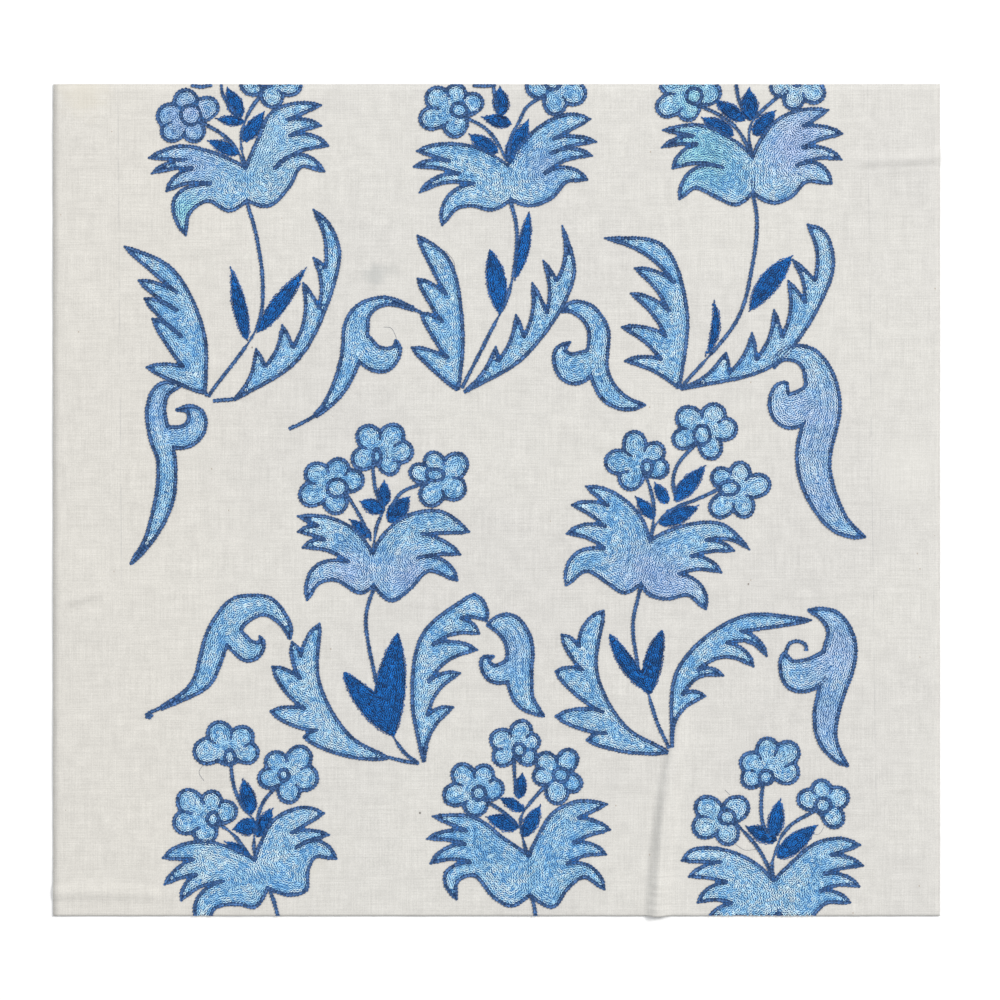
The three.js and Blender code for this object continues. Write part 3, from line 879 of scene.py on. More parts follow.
def chain_links(rows, tones, gauge, height, rng, ends=(-0.35, -0.25), loop_highlight=None):
    """Vertices, triangles, tones, maps and normals of chain links: two bowed legs each, the narrow
    end low in the hole of the link before.  With a highlight colour the legs get a painted highlight
    towards the row's middle and painted shade on their outer edges; a low ribbon closes the hole."""
    n = len(rows)
    size = rows[:, 3] * (1 + (0.12 if loop_highlight is None else 0.07) * rng.standard_normal(n)).clip(0.8, 1.2)
    width = rows[:, 4] * (1 + 0.06 * rng.standard_normal(n)).clip(0.88, 1.12)
    way = rows[:, 2] + (0.25 if loop_highlight is None else 0.06) * rng.standard_normal(n)
    off = (0.36 if loop_highlight is None else 0.09) * rng.standard_normal(n)
    rise = height * (1 + 0.10 * rng.standard_normal(n)).clip(0.75, 1.25)
    thick = gauge * np.minimum(1.0, rows[:, 4] / (2 * RIM)) if loop_highlight is not None else np.full(n, gauge)
    shine = (0.35 + 1.3 * rng.random(n))[:, None]
    cos, sin = np.cos(way), np.sin(way)
    px = rows[:, 0] - sin * off
    py = rows[:, 1] + cos * off
    up = upward(*to_mm(px, py))
    along = np.column_stack([cos, -sin, np.zeros(n)])
    across = np.column_stack([-sin, -cos, np.zeros(n)])
    verts = np.empty((n, 2, 8, 3))
    norms = np.empty((n, 2, 8, 3))
    col = np.repeat(tones[:, None, None, :], 2, axis=1).repeat(8, axis=2)
    spots = [(-0.60, ends[0], 0.02, -1.0), (-0.27, 0.93, 0.84, -0.22), (0.32, 1.0, 0.66, 0.16), (0.68, ends[1], 0.10, 0.9)]   # along, aside, up, lean
    if loop_highlight is None:
        spots = [(-0.72, ends[0], 0.02, -1.0), (-0.20, 0.92, 0.84, -0.22), (0.24, 1.0, 0.66, 0.16), (0.78, ends[1], 0.10, 0.9)]   # the legs cross at both ends
    for leg, s in enumerate((-1.0, 1.0)):
        aside = 0.5 * width - thick
        at = 0
        for q, (u, v, w, lean) in enumerate(spots):
            ring = RING if q in (1, 2) else [(0.0, 0.0)]
            for cx, cz in ring:
                a = u * size
                b = s * v * aside + thick * cx
                x, y = on_cloth(px + cos * a - sin * b, py + sin * a + cos * b)
                verts[:, leg, at, 0] = x
                verts[:, leg, at, 1] = y
                verts[:, leg, at, 2] = face(x, y) + w * rise + thick * UNIT * cz + (0.0 if q in (1, 2) else -0.06)
                norms[:, leg, at] = -up if cz < 0 else up + lean * along + 0.62 * cx * across
                if loop_highlight is None:
                    # painted shade: the end that dips into the hole is a little darker
                    col[:, leg, at] *= (0.86, 1, 1, 0.92)[q]
                elif q in (1, 2):
                    # painted shade: the legs darker on their outer side and first ring; painted highlight: paler inner
                    # side and a random glint in the highlight colour
                    inner = cx * s < -0.1
                    glint = (0.10, 0.50)[q - 1] * shine if inner else (0.0, 0.12)[q - 1] * shine
                    col[:, leg, at] = tones * ((0.52, 0.80) if inner else (0.46, 0.76))[q - 1] + loop_highlight * glint
                at += 1
    norms /= np.linalg.norm(norms, axis=-1, keepdims=True)
    base = (np.arange(n * 2) * 8)[:, None, None]
    tris = (LEG_TRIS[None] + base).reshape(-1, 3)
    cells = int(math.ceil(math.sqrt(n * 2)))
    k = np.arange(n * 2)
    cell = np.column_stack([k % cells, k // cells]) / cells
    bake = (cell[:, None, None, :] + LEG_BAKE[None] * (0.96 / cells) + 0.02 / cells).reshape(-1, 2)
    twist = np.broadcast_to(LEG_TWIST[None], (n * 2, 12, 3, 2)).copy()
    twist[..., 0] = (twist[..., 0] * 1.3 + rng.random(n * 2)[:, None, None]) * 1.0
    verts, col, norms, twist = verts.reshape(-1, 3), col.reshape(-1, 3), norms.reshape(-1, 3), twist.reshape(-1, 2)
    if loop_highlight is not None:
        # ribbons: a flat strip under the middle of each link, coloured with the painted highlight at random strength
        rv = np.empty((n, 4, 3))
        for i, (u, s) in enumerate(((-0.55, -1), (0.55, -1), (0.55, 1), (-0.55, 1))):
            a, b = u * size, s * 0.33 * width
            x, y = on_cloth(px + cos * a - sin * b, py + sin * a + cos * b)
            rv[:, i] = np.column_stack([x, y, face(x, y) + 0.62 * rise])
        strip = (np.array([(0, 2, 1), (0, 3, 2)])[None] + (np.arange(n) * 4)[:, None, None]).reshape(-1, 3) + len(verts)
        m = int(math.ceil(math.sqrt(n)))
        k = np.arange(n)
        cell = np.column_stack([k % m, k // m]) / m
        quad = np.array([(0.04, 0.1), (0.96, 0.1), (0.96, 0.9), (0.04, 0.9)])[np.array([(0, 2, 1), (0, 3, 2)])]
        sbake = (cell[:, None, None] + quad[None] / m).reshape(-1, 2)
        bake = np.vstack([bake * np.array([1.0, 0.9]), sbake * np.array([1.0, 0.1]) + np.array([0.0, 0.9])])
        verts, tris = np.vstack([verts, rv.reshape(-1, 3)]), np.vstack([tris, strip])
        col = np.vstack([col, np.repeat((loop_highlight * (0.22 + 1.05 * rng.random(n))[:, None]), 4, axis=0)])
        norms = np.vstack([norms, np.repeat(up, 4, axis=0)])
        twist = np.vstack([twist, np.zeros((len(strip) * 3, 2))])
    return verts, tris, col, bake, twist, norms


def shade_sheet(f, depth, level, every, rng):
    """A raised sheet of painted shade under a fill: cells of the field's grid, cut at the shape's edge
    and tucked into the cotton there."""
    x, y = f.x[::every], f.y[::every]
    a = depth[::every, ::every] - level
    gx, gy = np.meshgrid(x, y)
    room = np.minimum.reduce([gx - FRAME_LO[0], FRAME_HI[0] - gx, gy - FRAME_LO[1], FRAME_HI[1] - gy])
    a = np.minimum(a, room)
    a = np.where(np.abs(a) < 1e-6, 1e-6, a)
    ids, pts, low = {}, [], []

    def corner(j, i):
        k = (j, i)
        if k not in ids:
            ids[k] = len(pts); pts.append((x[i], y[j])); low.append(a[j, i])
        return ids[k]

    def cut(j0, i0, j1, i1):
        k = (j0, i0, j1, i1) if (j0, i0) < (j1, i1) else (j1, i1, j0, i0)
        if k not in ids:
            t = a[j0, i0] / (a[j0, i0] - a[j1, i1])
            ids[k] = len(pts); pts.append((x[i0] + t * (x[i1] - x[i0]), y[j0] + t * (y[j1] - y[j0]))); low.append(0.0)
        return ids[k]

    tris = []
    for j in range(a.shape[0] - 1):
        for i in range(a.shape[1] - 1):
            ring = [(j, i), (j, i + 1), (j + 1, i + 1), (j + 1, i)]
            inside = [a[q] > 0 for q in ring]
            if not any(inside):
                continue
            poly = []
            for q in range(4):
                p0, p1 = ring[q], ring[(q + 1) % 4]
                if inside[q]:
                    poly.append(corner(*p0))
                if inside[q] != inside[(q + 1) % 4]:
                    poly.append(cut(*p0, *p1))
            for q in range(1, len(poly) - 1):
                tris.append((poly[0], poly[q + 1], poly[q]))
    if not tris:
        return None
    p = np.array(pts)
    return p, np.array(low), np.array(tris)


def grid_maps(mm, tris, box):
    """A flat map from above into a box of the texture."""
    lo, hi = mm.min(0), mm.max(0)
    uv = (mm - lo) / max(hi - lo)
    return (np.array(box[:2]) + uv * np.array([box[2], box[3]]))[tris].reshape(-1, 2)


# ---- materials -----------------------------------------------------------------------------------
class Nodes:
    def __init__(self, name):
        self.mat = bpy.data.materials.new(name)
        self.mat.use_nodes = True
        self.t = self.mat.node_tree
        self.t.nodes.clear()
        self.out = self.t.nodes.new("ShaderNodeOutputMaterial")
        self.bsdf = self.t.nodes.new("ShaderNodeBsdfPrincipled")
        self.t.links.new(self.bsdf.outputs["BSDF"], self.out.inputs["Surface"])

    def new(self, kind, **props):
        n = self.t.nodes.new("ShaderNode" + kind)
        for k, v in props.items():
            setattr(n, k, v)
        return n

    def link(self, a, b):
        self.t.links.new(a, b)

    def put(self, socket, value):
        if hasattr(value, "is_linked") or isinstance(value, bpy.types.NodeSocket):
            self.link(value, socket)
        else:
            socket.default_value = value

    def math(self, op, a, b=0.0, c=0.0, clamp=False):
        n = self.new("Math", operation=op, use_clamp=clamp)
        for s, v in zip(n.inputs, (a, b, c)):
            self.put(s, v)
        return n.outputs[0]

    def mix(self, share, a, b, kind="MIX"):
        n = self.new("Mix", data_type="RGBA", blend_type=kind)
        self.put(n.inputs[0], share)
        for s, v in ((n.inputs[6], a), (n.inputs[7], b)):
            self.put(s, (*v, 1.0) if isinstance(v, (tuple, list, np.ndarray)) else v)
        return n.outputs[2]

    def span(self, v, lo, hi, to_lo=0.0, to_hi=1.0):
        n = self.new("MapRange", interpolation_type="SMOOTHSTEP")
        for s, k in zip(n.inputs[:5], (v, lo, hi, to_lo, to_hi)):
            self.put(s, k)
        return n.outputs[0]

    def scaled(self, vec, sx, sy, sz, shift=(0, 0, 0)):
        n = self.new("Mapping")
        self.put(n.inputs["Vector"], vec)
        n.inputs["Scale"].default_value = (sx, sy, sz)
        n.inputs["Location"].default_value = shift
        return n.outputs[0]

    def noise(self, vec, scale, detail=2.0, rough=0.5):
        n = self.new("TexNoise")
        self.put(n.inputs["Vector"], vec)
        n.inputs["Scale"].default_value = scale
        n.inputs["Detail"].default_value = detail
        n.inputs["Roughness"].default_value = rough
        return n.outputs["Fac"]


def thread_material(name, rough, sheen, sheen_tint, spec, fibre):
    m = Nodes(name)
    tone = m.new("Attribute", attribute_name="tone", attribute_type="GEOMETRY").outputs["Color"]
    place = m.new("TexCoord").outputs["Object"]
    strand = m.noise(place, 5200.0, 2.0, 0.6)
    patch = m.noise(place, 420.0, 2.0, 0.5)
    shade = m.math("MULTIPLY", m.span(strand, 0.2, 0.8, 1.0 - fibre, 1.0 + fibre), m.span(patch, 0.25, 0.75, 0.92, 1.08))
    grey = m.new("CombineColor")
    for s in grey.inputs[:3]:
        m.link(shade, s)
    m.link(m.mix(1.0, tone, grey.outputs[0], "MULTIPLY"), m.bsdf.inputs["Base Color"])
    m.link(m.span(strand, 0.25, 0.75, rough - 0.09, rough + 0.09), m.bsdf.inputs["Roughness"])
    uv = m.new("UVMap", uv_map="thread").outputs[0]
    sep = m.new("SeparateXYZ")
    m.link(uv, sep.inputs[0])
    turn = m.math("MULTIPLY_ADD", sep.outputs["X"], 6.0, sep.outputs["Y"])
    ply = m.math("SINE", m.math("MULTIPLY", turn, 2 * math.pi))
    fine = m.math("MULTIPLY_ADD", strand, 0.8, ply)
    bump = m.new("Bump")
    bump.inputs["Strength"].default_value = 0.45
    bump.inputs["Distance"].default_value = 0.00006
    m.link(fine, bump.inputs["Height"])
    m.link(bump.outputs[0], m.bsdf.inputs["Normal"])
    m.bsdf.inputs["Sheen Weight"].default_value = sheen
    m.bsdf.inputs["Sheen Roughness"].default_value = 0.45
    m.bsdf.inputs["Sheen Tint"].default_value = (*sheen_tint, 1.0)
    m.bsdf.inputs["Specular IOR Level"].default_value = spec
    return m.mat


def cotton_material():
    m = Nodes("undyed_cotton_weave")
    place = m.new("TexCoord").outputs["Object"]
    sep = m.new("SeparateXYZ")
    m.link(place, sep.inputs[0])
    x, y = sep.outputs["X"], sep.outputs["Y"]
    # yarns: long streaks across and along, each with thick and thin stretches
    warp = m.noise(m.scaled(place, 2100, 46, 40), 1.0, 3.0, 0.55)
    weft = m.noise(m.scaled(place, 40, 1900, 40, (7.0, 3.0, 1.0)), 1.0, 3.0, 0.55)
    slub = m.noise(m.scaled(place, 22, 900, 20, (2.0, 9.0, 4.0)), 1.0, 2.0, 0.5)
    slub = m.span(slub, 0.62, 0.76)
    cloud = m.noise(place, 9.0, 3.0, 0.55)
    mottle = m.noise(place, 130.0, 3.0, 0.6)
    grain = m.noise(place, 1500.0, 2.0, 0.7)
    base = m.mix(m.span(cloud, 0.35, 0.65), linear(209, 207, 202), linear(206, 204, 200))
    base = m.mix(m.math("MULTIPLY", m.span(x, -0.20, -0.06, 1.0, 0.0), 0.55), base, linear(212, 208, 200))
    streak = m.math("ADD", m.span(warp, 0.3, 0.7, -1.0, 1.0), m.span(weft, 0.3, 0.7, -1.0, 1.0))
    tone = m.math("MULTIPLY_ADD", streak, 0.046, 1.0)
    tone = m.math("MULTIPLY", tone, m.span(mottle, 0.3, 0.7, 0.965, 1.03))
    tone = m.math("MULTIPLY", tone, m.span(grain, 0.25, 0.75, 0.92, 1.075))
    tone = m.math("MULTIPLY_ADD", slub, 0.03, tone)
    grey = m.new("CombineColor")
    for s in grey.inputs[:3]:
        m.link(tone, s)
    col = m.mix(1.0, base, grey.outputs[0], "MULTIPLY")
    # seed specks
    for scale, size, share, colour, strength in ((115.0, 0.030, 0.30, (150, 128, 104), 0.55), (62.0, 0.020, 0.16, (104, 92, 82), 0.7)):
        v = m.new("TexVoronoi", feature="F1")
        v.inputs["Scale"].default_value = scale
        v.inputs["Randomness"].default_value = 1.0
        m.link(m.scaled(place, 1.0, 0.75, 1.0), v.inputs["Vector"])
        pick = m.new("SeparateColor")
        m.link(v.outputs["Color"], pick.inputs[0])
        speck = m.math("MULTIPLY", m.span(v.outputs["Distance"], size, size * 1.7, 1.0, 0.0), m.math("LESS_THAN", pick.outputs[0], share))
        col = m.mix(m.math("MULTIPLY", speck, strength), col, linear(*colour))
    # stains: x, y (m), reach, colour, strength
    for px, py, reach, colour, strength in ((375, 275, 14, (176, 178, 176), 0.58), (392, 268, 9, (186, 186, 182), 0.25), (84, 92, 30, (214, 207, 190), 0.35), (420, 813, 1.6, (70, 62, 58), 0.85), (300, 862, 26, (214, 210, 200), 0.3), (905, 470, 40, (222, 220, 214), 0.3)):
        cx, cy = to_mm(px, py)
        d = m.new("VectorMath", operation="DISTANCE")
        m.link(place, d.inputs[0])
        d.inputs[1].default_value = (cx * 0.001, cy * 0.001, 0.0008)
        r = reach * UNIT * 0.001
        soft = m.math("MULTIPLY_ADD", m.math("SUBTRACT", mottle, 0.5), 1.2 * r, d.outputs["Value"])
        col = m.mix(m.math("MULTIPLY", m.span(soft, 0.25 * r, 1.15 * r, 1.0, 0.0), strength), col, linear(*colour))
    # two faint ruled lines down the cloth, broken by the weave
    for x0, lean, strength, foot in ((-194.8, 0.0072, 0.20, -0.07), (194.9, 0.0122, 0.17, -0.19)):
        off = m.math("ABSOLUTE", m.math("SUBTRACT", m.math("MULTIPLY_ADD", y, lean, x), x0 * 0.001))
        rule = m.math("MULTIPLY", m.span(off, 0.00018, 0.00046, 1.0, 0.0), m.span(m.noise(place, 70.0, 2.0), 0.35, 0.6))
        rule = m.math("MULTIPLY", rule, m.span(y, foot, foot + 0.05))
        col = m.mix(m.math("MULTIPLY", rule, strength), col, linear(140, 142, 146))
    m.link(col, m.bsdf.inputs["Base Color"])
    weave = m.math("ADD", m.math("ADD", warp, weft), m.math("MULTIPLY_ADD", slub, 0.5, m.math("MULTIPLY", grain, 0.5)))
    bump = m.new("Bump")
    bump.inputs["Strength"].default_value = 0.5
    bump.inputs["Distance"].default_value = 0.00012
    m.link(weave, bump.inputs["Height"])
    m.link(bump.outputs[0], m.bsdf.inputs["Normal"])
    m.link(m.span(grain, 0.3, 0.7, 0.86, 0.96), m.bsdf.inputs["Roughness"])
    m.bsdf.inputs["Specular IOR Level"].default_value = 0.25
    m.bsdf.inputs["Sheen Weight"].default_value = 0.06
    m.bsdf.inputs["Sheen Roughness"].default_value = 0.6
    return m.mat


def floor_material():
    m = Nodes("pale_floor")
    place = m.new("TexCoord").outputs["Object"]
    n = m.noise(place, 3.0, 2.0)
    m.link(m.mix(m.span(n, 0.3, 0.7), (0.93, 0.93, 0.93), (0.95, 0.95, 0.95)), m.bsdf.inputs["Base Color"])
    m.bsdf.inputs["Roughness"].default_value = 0.9
    m.bsdf.inputs["Specular IOR Level"].default_value = 0.2
    return m.mat


# ---- camera, light, floor ------------------------------------------------------------------------
scene = bpy.context.scene
scene.view_settings.view_transform = "Standard"
scene.view_settings.look = "None"
scene.view_settings.exposure = 0.0

cam = bpy.data.cameras.new("camera")
cam.lens, cam.sensor_width, cam.sensor_fit = 85.0, 36.0, "HORIZONTAL"
cam.clip_start, cam.clip_end = 0.01, 50.0
camera = bpy.data.objects.new("camera", cam)
VIEW = 1000 * UNIT * 0.001
camera.location = ((500 - MIDDLE[0]) * UNIT * 0.001, (MIDDLE[1] - 500) * UNIT * 0.001, VIEW * 85.0 / 36.0 + 0.0008)
scene.collection.objects.link(camera)
scene.camera = camera

world = bpy.data.worlds.new("studio")
scene.world = world
world.use_nodes = True
world.node_tree.nodes["Background"].inputs["Color"].default_value = (0.97, 0.985, 1.0, 1.0)
world.node_tree.nodes["Background"].inputs["Strength"].default_value = 0.52


def area(name, at, aim, size, power, colour):
    d = bpy.data.lights.new(name, "AREA")
    d.shape, d.size, d.energy, d.color = "DISK", size, power, colour
    o = bpy.data.objects.new(name, d)
    o.location = at
    way = np.array(aim) - np.array(at)
    yaw = math.atan2(way[1], way[0])
    pitch = math.acos(-way[2] / np.linalg.norm(way))
    o.rotation_euler = (pitch, 0.0, yaw - math.pi / 2)
    scene.collection.objects.link(o)
    return o


area("key", (4.0, 2.88, 4.8), (0, 0, 0), 2.56, 340.0, (1.0, 0.98, 0.95))
area("soft", (-3.6, 3.0, 5.7), (0, 0, 0), 4.2, 144.0, (0.97, 0.985, 1.0))

bm_floor = bpy.data.meshes.new("floor")
side = 6.0
bm_floor.from_pydata([(-side, -side, -0.0003), (side, -side, -0.0003), (side, side, -0.0003), (-side, side, -0.0003)], [], [(0, 1, 2, 3)])
floor = bpy.data.objects.new("floor", bm_floor)
scene.collection.objects.link(floor)
bm_floor.materials.append(floor_material())


# ---- the cotton ----------------------------------------------------------------------------------
def lines(half, step, bands):
    """Grid lines over a span, closer inside the bands (low, high, step)."""
    at = [-half]
    while at[-1] < half - 1e-6:
        s = step
        for lo, hi, fine in bands:
            if lo - 0.5 <= at[-1] < hi:
                s = fine
        at.append(min(half, at[-1] + s))
    if at[-1] - at[-2] < 0.3 * step:
        at.pop(-2)
    return np.array(at)


xs = lines(CLOTH_WIDTH / 2, 3.7, [(70, 112, 1.05)])
ys = lines(CLOTH_LENGTH / 2, 3.7, [(-198, -100, 2.4), (-215.75, -198, 1.2), (-60, -41, 1.4), (166, 186, 1.4)])
gx, gy = np.meshgrid(xs, ys)
nx, ny = len(xs), len(ys)
low = lift(gx, gy) + ripple(gx, gy) * 0.8 + UNDERSIDE
rim = np.minimum.reduce([gx + CLOTH_WIDTH / 2, CLOTH_WIDTH / 2 - gx, gy + CLOTH_LENGTH / 2, CLOTH_LENGTH / 2 - gy])
thin = np.where(rim < 1e-6, 0.12, 0.0)
top = face(gx, gy) - thin
fray_x = np.where(np.abs(np.abs(gx) - CLOTH_WIDTH / 2) < 1e-6, -np.sign(gx) * 0.12 * RNG.random(gx.shape), 0.0)
fray_y = np.where(np.abs(np.abs(gy) - CLOTH_LENGTH / 2) < 1e-6, -np.sign(gy) * 0.12 * RNG.random(gx.shape), 0.0)
vt = np.column_stack([(gx + fray_x).ravel(), (gy + fray_y).ravel(), top.ravel()])
vb = np.column_stack([(gx + fray_x).ravel(), (gy + fray_y).ravel(), (low + 0.5 * thin).ravel()])
idx = np.arange(nx * ny).reshape(ny, nx)
q = np.stack([idx[:-1, :-1], idx[:-1, 1:], idx[1:, 1:], idx[1:, :-1]], -1).reshape(-1, 4)
tri_top = np.vstack([q[:, [0, 1, 2]], q[:, [0, 2, 3]]])
tri_bot = tri_top[:, ::-1] + nx * ny
loop = np.concatenate([idx[0, :-1], idx[:-1, -1], idx[-1, :0:-1], idx[:0:-1, 0]])
nxt = np.roll(loop, -1)
wall = np.vstack([np.column_stack([loop, loop + nx * ny, nxt + nx * ny]), np.column_stack([loop, nxt + nx * ny, nxt])])
verts = np.vstack([vt, vb])
tris = np.vstack([tri_top, tri_bot, wall])
span = max(CLOTH_WIDTH, CLOTH_LENGTH)
flat = np.column_stack([(verts[:, 0] + CLOTH_WIDTH / 2) / span, (verts[:, 1] + CLOTH_LENGTH / 2) / span])
uv_top = flat[tri_top] * 0.70 + np.array([0.004, 0.004])
uv_bot = flat[tri_bot] * np.array([0.26, 0.26]) + np.array([0.72, 0.004])
run = np.arange(len(loop)) / len(loop)
w0, w1 = run, (np.arange(len(loop)) + 1) / len(loop)
# the cut edge goes round in four strips above the face
strip = (np.arange(len(loop)) * 8 // len(loop))


def edge_uv(share, row, high):
    return np.column_stack([(share * 8 - row) * 0.96 + 0.01, 0.72 + row * 0.03 + high * 0.024])


e00, e01 = edge_uv(w0, strip, 1.0), edge_uv(w0, strip, 0.0)
e10, e11 = edge_uv(w1, strip, 1.0), edge_uv(w1, strip, 0.0)
uv_wall = np.vstack([np.stack([e00, e01, e11], 1), np.stack([e00, e11, e10], 1)])
uv_wall[..., 1] = np.minimum(uv_wall[..., 1], 0.995)
cloth = mesh_object("cotton_sheet", verts, tris, bake=np.concatenate([uv_top, uv_bot, uv_wall]).reshape(-1, 2))
cloth.data.materials.append(cotton_material())
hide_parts("embroidered_cloth")
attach(cloth, "root")

# ---- the stitches --------------------------------------------------------------------------------
light_thread = thread_material("light_blue_thread", 0.52, 0.06, (0.75, 0.88, 1.0), 0.28, 0.10)
dark_thread = thread_material("dark_blue_thread", 0.50, 0.04, (0.50, 0.64, 0.95), 0.24, 0.16)
back_light = light_thread
GROUPS = {k: [k] for k in SPRAYS}
GROUPS.update(scrolls_upper=["S1", "S2", "S3", "S4"], scrolls_lower=["S5", "S6", "S7"])
FILL_GAUGE, RIM_GAUGE, SOLID_GAUGE = 0.50, 0.85, 0.58     # half thickness of the thread's legs, drawing units

pattern = draw_pattern()
stitched = []
reverse = {"light": [], "dark": []}
for group, members in GROUPS.items():
    rng = np.random.default_rng(1000 + sum(map(ord, group)))
    light = [pattern[k]["light"].all() for k in members]
    step = 0
    for a in light:
        a[:, 5] += step
        step = a[:, 5].max() + 1
    light = np.vstack(light)
    tones = light_tones(light, rng)
    v, t, c, b, w, o = chain_links(light, tones, FILL_GAUGE, 0.40, rng)
    reverse["light"].append((light, tones))
    # painted shade: a dark sheet under the fills, mapped into the last strip of the texture
    b = b * 0.86
    gv, gt, gc, gb, gn = [], [], [], [], []
    count = len(v)
    shade_fields = [(f, d) for k in members for f, d in pattern[k]["beds"]]
    cols = int(math.ceil(len(shade_fields) / 7)) or 1
    for n, (f, d) in enumerate(shade_fields):
        made = shade_sheet(f, d, -1.3, 4, rng)
        if made is None:
            continue
        p, high, tri = made
        x, y = to_mm(p[:, 0], p[:, 1])
        z = face(x, y) - 0.05 + 0.17 * ease(high / 2.4)
        gv.append(np.column_stack([x, y, z]))
        gt.append(tri + count)
        gn.append(upward(x, y))
        count += len(p)
        # darker towards the edge, where it lies under the outlines: more painted shade
        inner = ease((high - 2.2) / 1.8)[:, None]
        gc.append((OUTLINE_SHADE + (FILL_SHADE - OUTLINE_SHADE) * inner) * (0.75 + 0.5 * smooth_noise(p[:, 0], p[:, 1], 14, 8))[:, None])
        row = n % 7
        gb.append(grid_maps(p * np.array([1, -1]), tri, (0.865 + 0.13 * (n // 7) / cols, 0.004 + row * 0.142, 0.125 / cols, 0.125 / cols)))
    verts = np.vstack([v] + gv)
    tris = np.vstack([t] + gt)
    maps = np.vstack([b] + gb)
    twist = np.vstack([w, np.zeros((3 * sum(len(t) for t in gt), 2))])
    ob = mesh_object("fill_" + group, verts, tris, np.vstack([c] + gc), maps, twist, np.vstack([o] + gn))
    ob.data.materials.append(light_thread)
    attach(ob, "root")
    stitched.append(ob)

    dark = [pattern[k]["dark"].all() for k in members]
    step = 0
    for a in dark:
        a[:, 5] += step
        step = a[:, 5].max() + 1
    dark = np.vstack(dark)
    tones = dark_tones(dark, rng)
    reverse["dark"].append((dark, tones))
    line = dark[:, 6] < 0.5
    parts = [chain_links(dark[line], tones[line], RIM_GAUGE, 0.34, rng, (0.42, 0.58), LOOP_HIGHLIGHT)]
    if (~line).any():
        parts.append(chain_links(dark[~line], tones[~line], SOLID_GAUGE, 0.36, rng))
        share = line.mean()
        parts[0] = (*parts[0][:3], parts[0][3] * np.array([1.0, share]), *parts[0][4:])
        parts[1] = (parts[1][0], parts[1][1] + len(parts[0][0]), parts[1][2], parts[1][3] * np.array([1.0, 1 - share]) + np.array([0.0, share]), *parts[1][4:])
    shade_fields = [(f, d) for k in members for f, d in pattern[k]["solids"]]
    count = sum(len(p[0]) for p in parts)
    parts = [(*p[:3], p[3] * 0.86, *p[4:]) for p in parts]
    for n, (f, d) in enumerate(shade_fields):
        p, high, tri = shade_sheet(f, d, 0.0, 3, rng)
        x, y = to_mm(p[:, 0], p[:, 1])
        # painted shade: a dark sheet under the dark leaves
        shade = INK * (0.55 + 0.25 * smooth_noise(p[:, 0], p[:, 1], 14, 8))[:, None]
        box = (0.865, 0.004 + n * 0.99 / len(shade_fields), 0.125, 0.125)
        box = (0.865, box[1], min(0.125, 0.9 / len(shade_fields)), min(0.125, 0.9 / len(shade_fields)))
        parts.append((np.column_stack([x, y, face(x, y) - 0.05 + 0.20 * ease(high / 2.0)]), tri + count, shade, grid_maps(p * np.array([1, -1]), tri, box), np.zeros((3 * len(tri), 2)), upward(x, y)))
        count += len(p)
    ob = mesh_object("outline_" + group, *[np.vstack([p[i] for p in parts]) for i in range(6)])
    ob.data.materials.append(dark_thread)
    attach(ob, "root")
    stitched.append(ob)

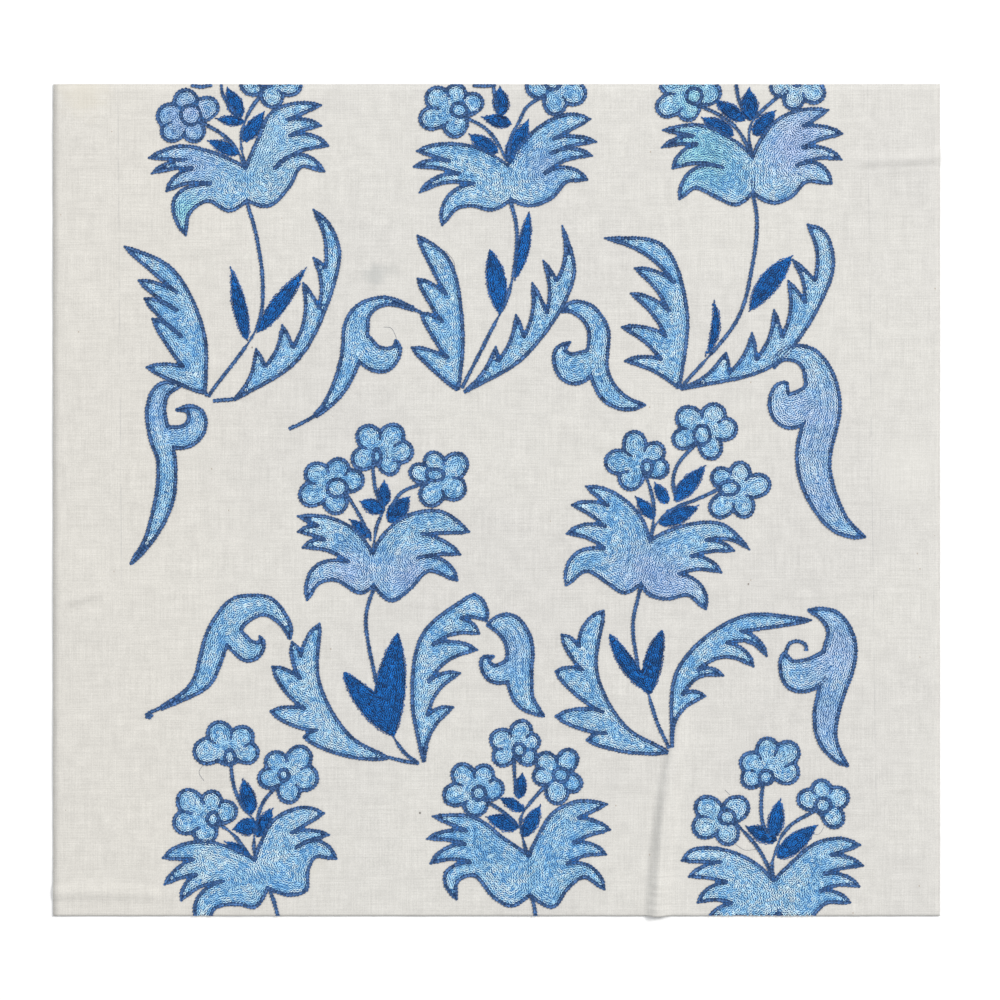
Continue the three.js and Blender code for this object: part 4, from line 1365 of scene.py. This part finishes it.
# Reverse of the stitches: a short low dash under each link.
for kind, mat, slot in (("light", light_thread, "light_blue_thread"), ("dark", dark_thread, "dark_blue_thread")):
    rows = np.vstack([r for r, _ in reverse[kind]])
    tones = np.vstack([t for _, t in reverse[kind]])
    n = len(rows)
    rng = np.random.default_rng(77)
    way = rows[:, 2] + 0.10 * rng.standard_normal(n)
    cos, sin = np.cos(way), np.sin(way)
    half = 0.40 * rows[:, 3]
    wide = 0.55 if kind == "light" else 0.75
    v = np.empty((n, 5, 3))
    for i, (u, s, deep) in enumerate(((-1, 0, 0), (0, -1, 0), (1, 0, 0), (0, 1, 0), (0, 0, 1))):
        x, y = on_cloth(rows[:, 0] + cos * u * half - sin * s * wide, rows[:, 1] + sin * u * half + cos * s * wide)
        under = lift(x, y) + ripple(x, y) * 0.8 + UNDERSIDE
        v[:, i] = np.column_stack([x, y, under + 0.02 - 0.15 * deep])
    dash = np.array([(4, 0, 1), (4, 1, 2), (4, 2, 3), (4, 3, 0)])
    tri = (dash[None] + (np.arange(n) * 5)[:, None, None]).reshape(-1, 3)
    cells = int(math.ceil(math.sqrt(n)))
    k = np.arange(n)
    cell = np.column_stack([k % cells, k // cells]) / cells
    unit = np.array([(0.04, 0.5), (0.5, 0.04), (0.96, 0.5), (0.5, 0.96), (0.5, 0.5)])[dash]
    bake = (cell[:, None, None] + unit[None] / cells).reshape(-1, 2)
    ob = mesh_object("reverse_" + kind, v.reshape(-1, 3), tri, np.repeat(tones, 5, axis=0), bake, np.zeros((len(tri) * 3, 2)))
    ob.data.materials.append(mat)
    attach(ob, "root")
    stitched.append(ob)

# Loose ends of thread on the face: thin three-sided cords.
fv, ft, fm = [], [], []
count = 0
for line in LOOSE_ENDS:
    p = spaced(flow(line, 8), 1.6)
    x, y = on_cloth(p[:, 0], p[:, 1])
    d = np.gradient(np.column_stack([x, y]), axis=0)
    d /= np.hypot(d[:, 0], d[:, 1])[:, None]
    z = face(x, y) + 0.11
    for i in range(len(p)):
        for a in (0.5 * math.pi, math.pi * 7 / 6, math.pi * 11 / 6):
            fv.append((x[i] - d[i, 1] * 0.085 * math.cos(a), y[i] + d[i, 0] * 0.085 * math.cos(a), z[i] + 0.085 * math.sin(a)))
    for i in range(len(p) - 1):
        for k in range(3):
            a, b = count + 3 * i + k, count + 3 * i + (k + 1) % 3
            ft += [(a, b, b + 3), (a, b + 3, a + 3)]
            fm += [[(0.05, 0.05), (0.95, 0.05), (0.95, 0.95)], [(0.05, 0.05), (0.95, 0.95), (0.05, 0.95)]]
    last = count + 3 * (len(p) - 1)
    ft += [(count, count + 2, count + 1), (last, last + 1, last + 2)]
    fm += [[(0.05, 0.05), (0.45, 0.05), (0.25, 0.95)], [(0.55, 0.05), (0.95, 0.05), (0.75, 0.95)]]
    count += 3 * len(p)
cells = int(math.ceil(math.sqrt(len(ft) / 2)))
k = np.arange(len(ft)) // 2
maps = (np.column_stack([k % cells, k // cells])[:, None, :] + np.array(fm)) / cells
ob = mesh_object("loose_thread_ends", np.array(fv), np.array(ft), np.tile(linear(104, 112, 132), (len(fv), 1)), maps.reshape(-1, 2), np.zeros((3 * len(ft), 2)))
ob.data.materials.append(dark_thread)
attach(ob, "root")
stitched.append(ob)
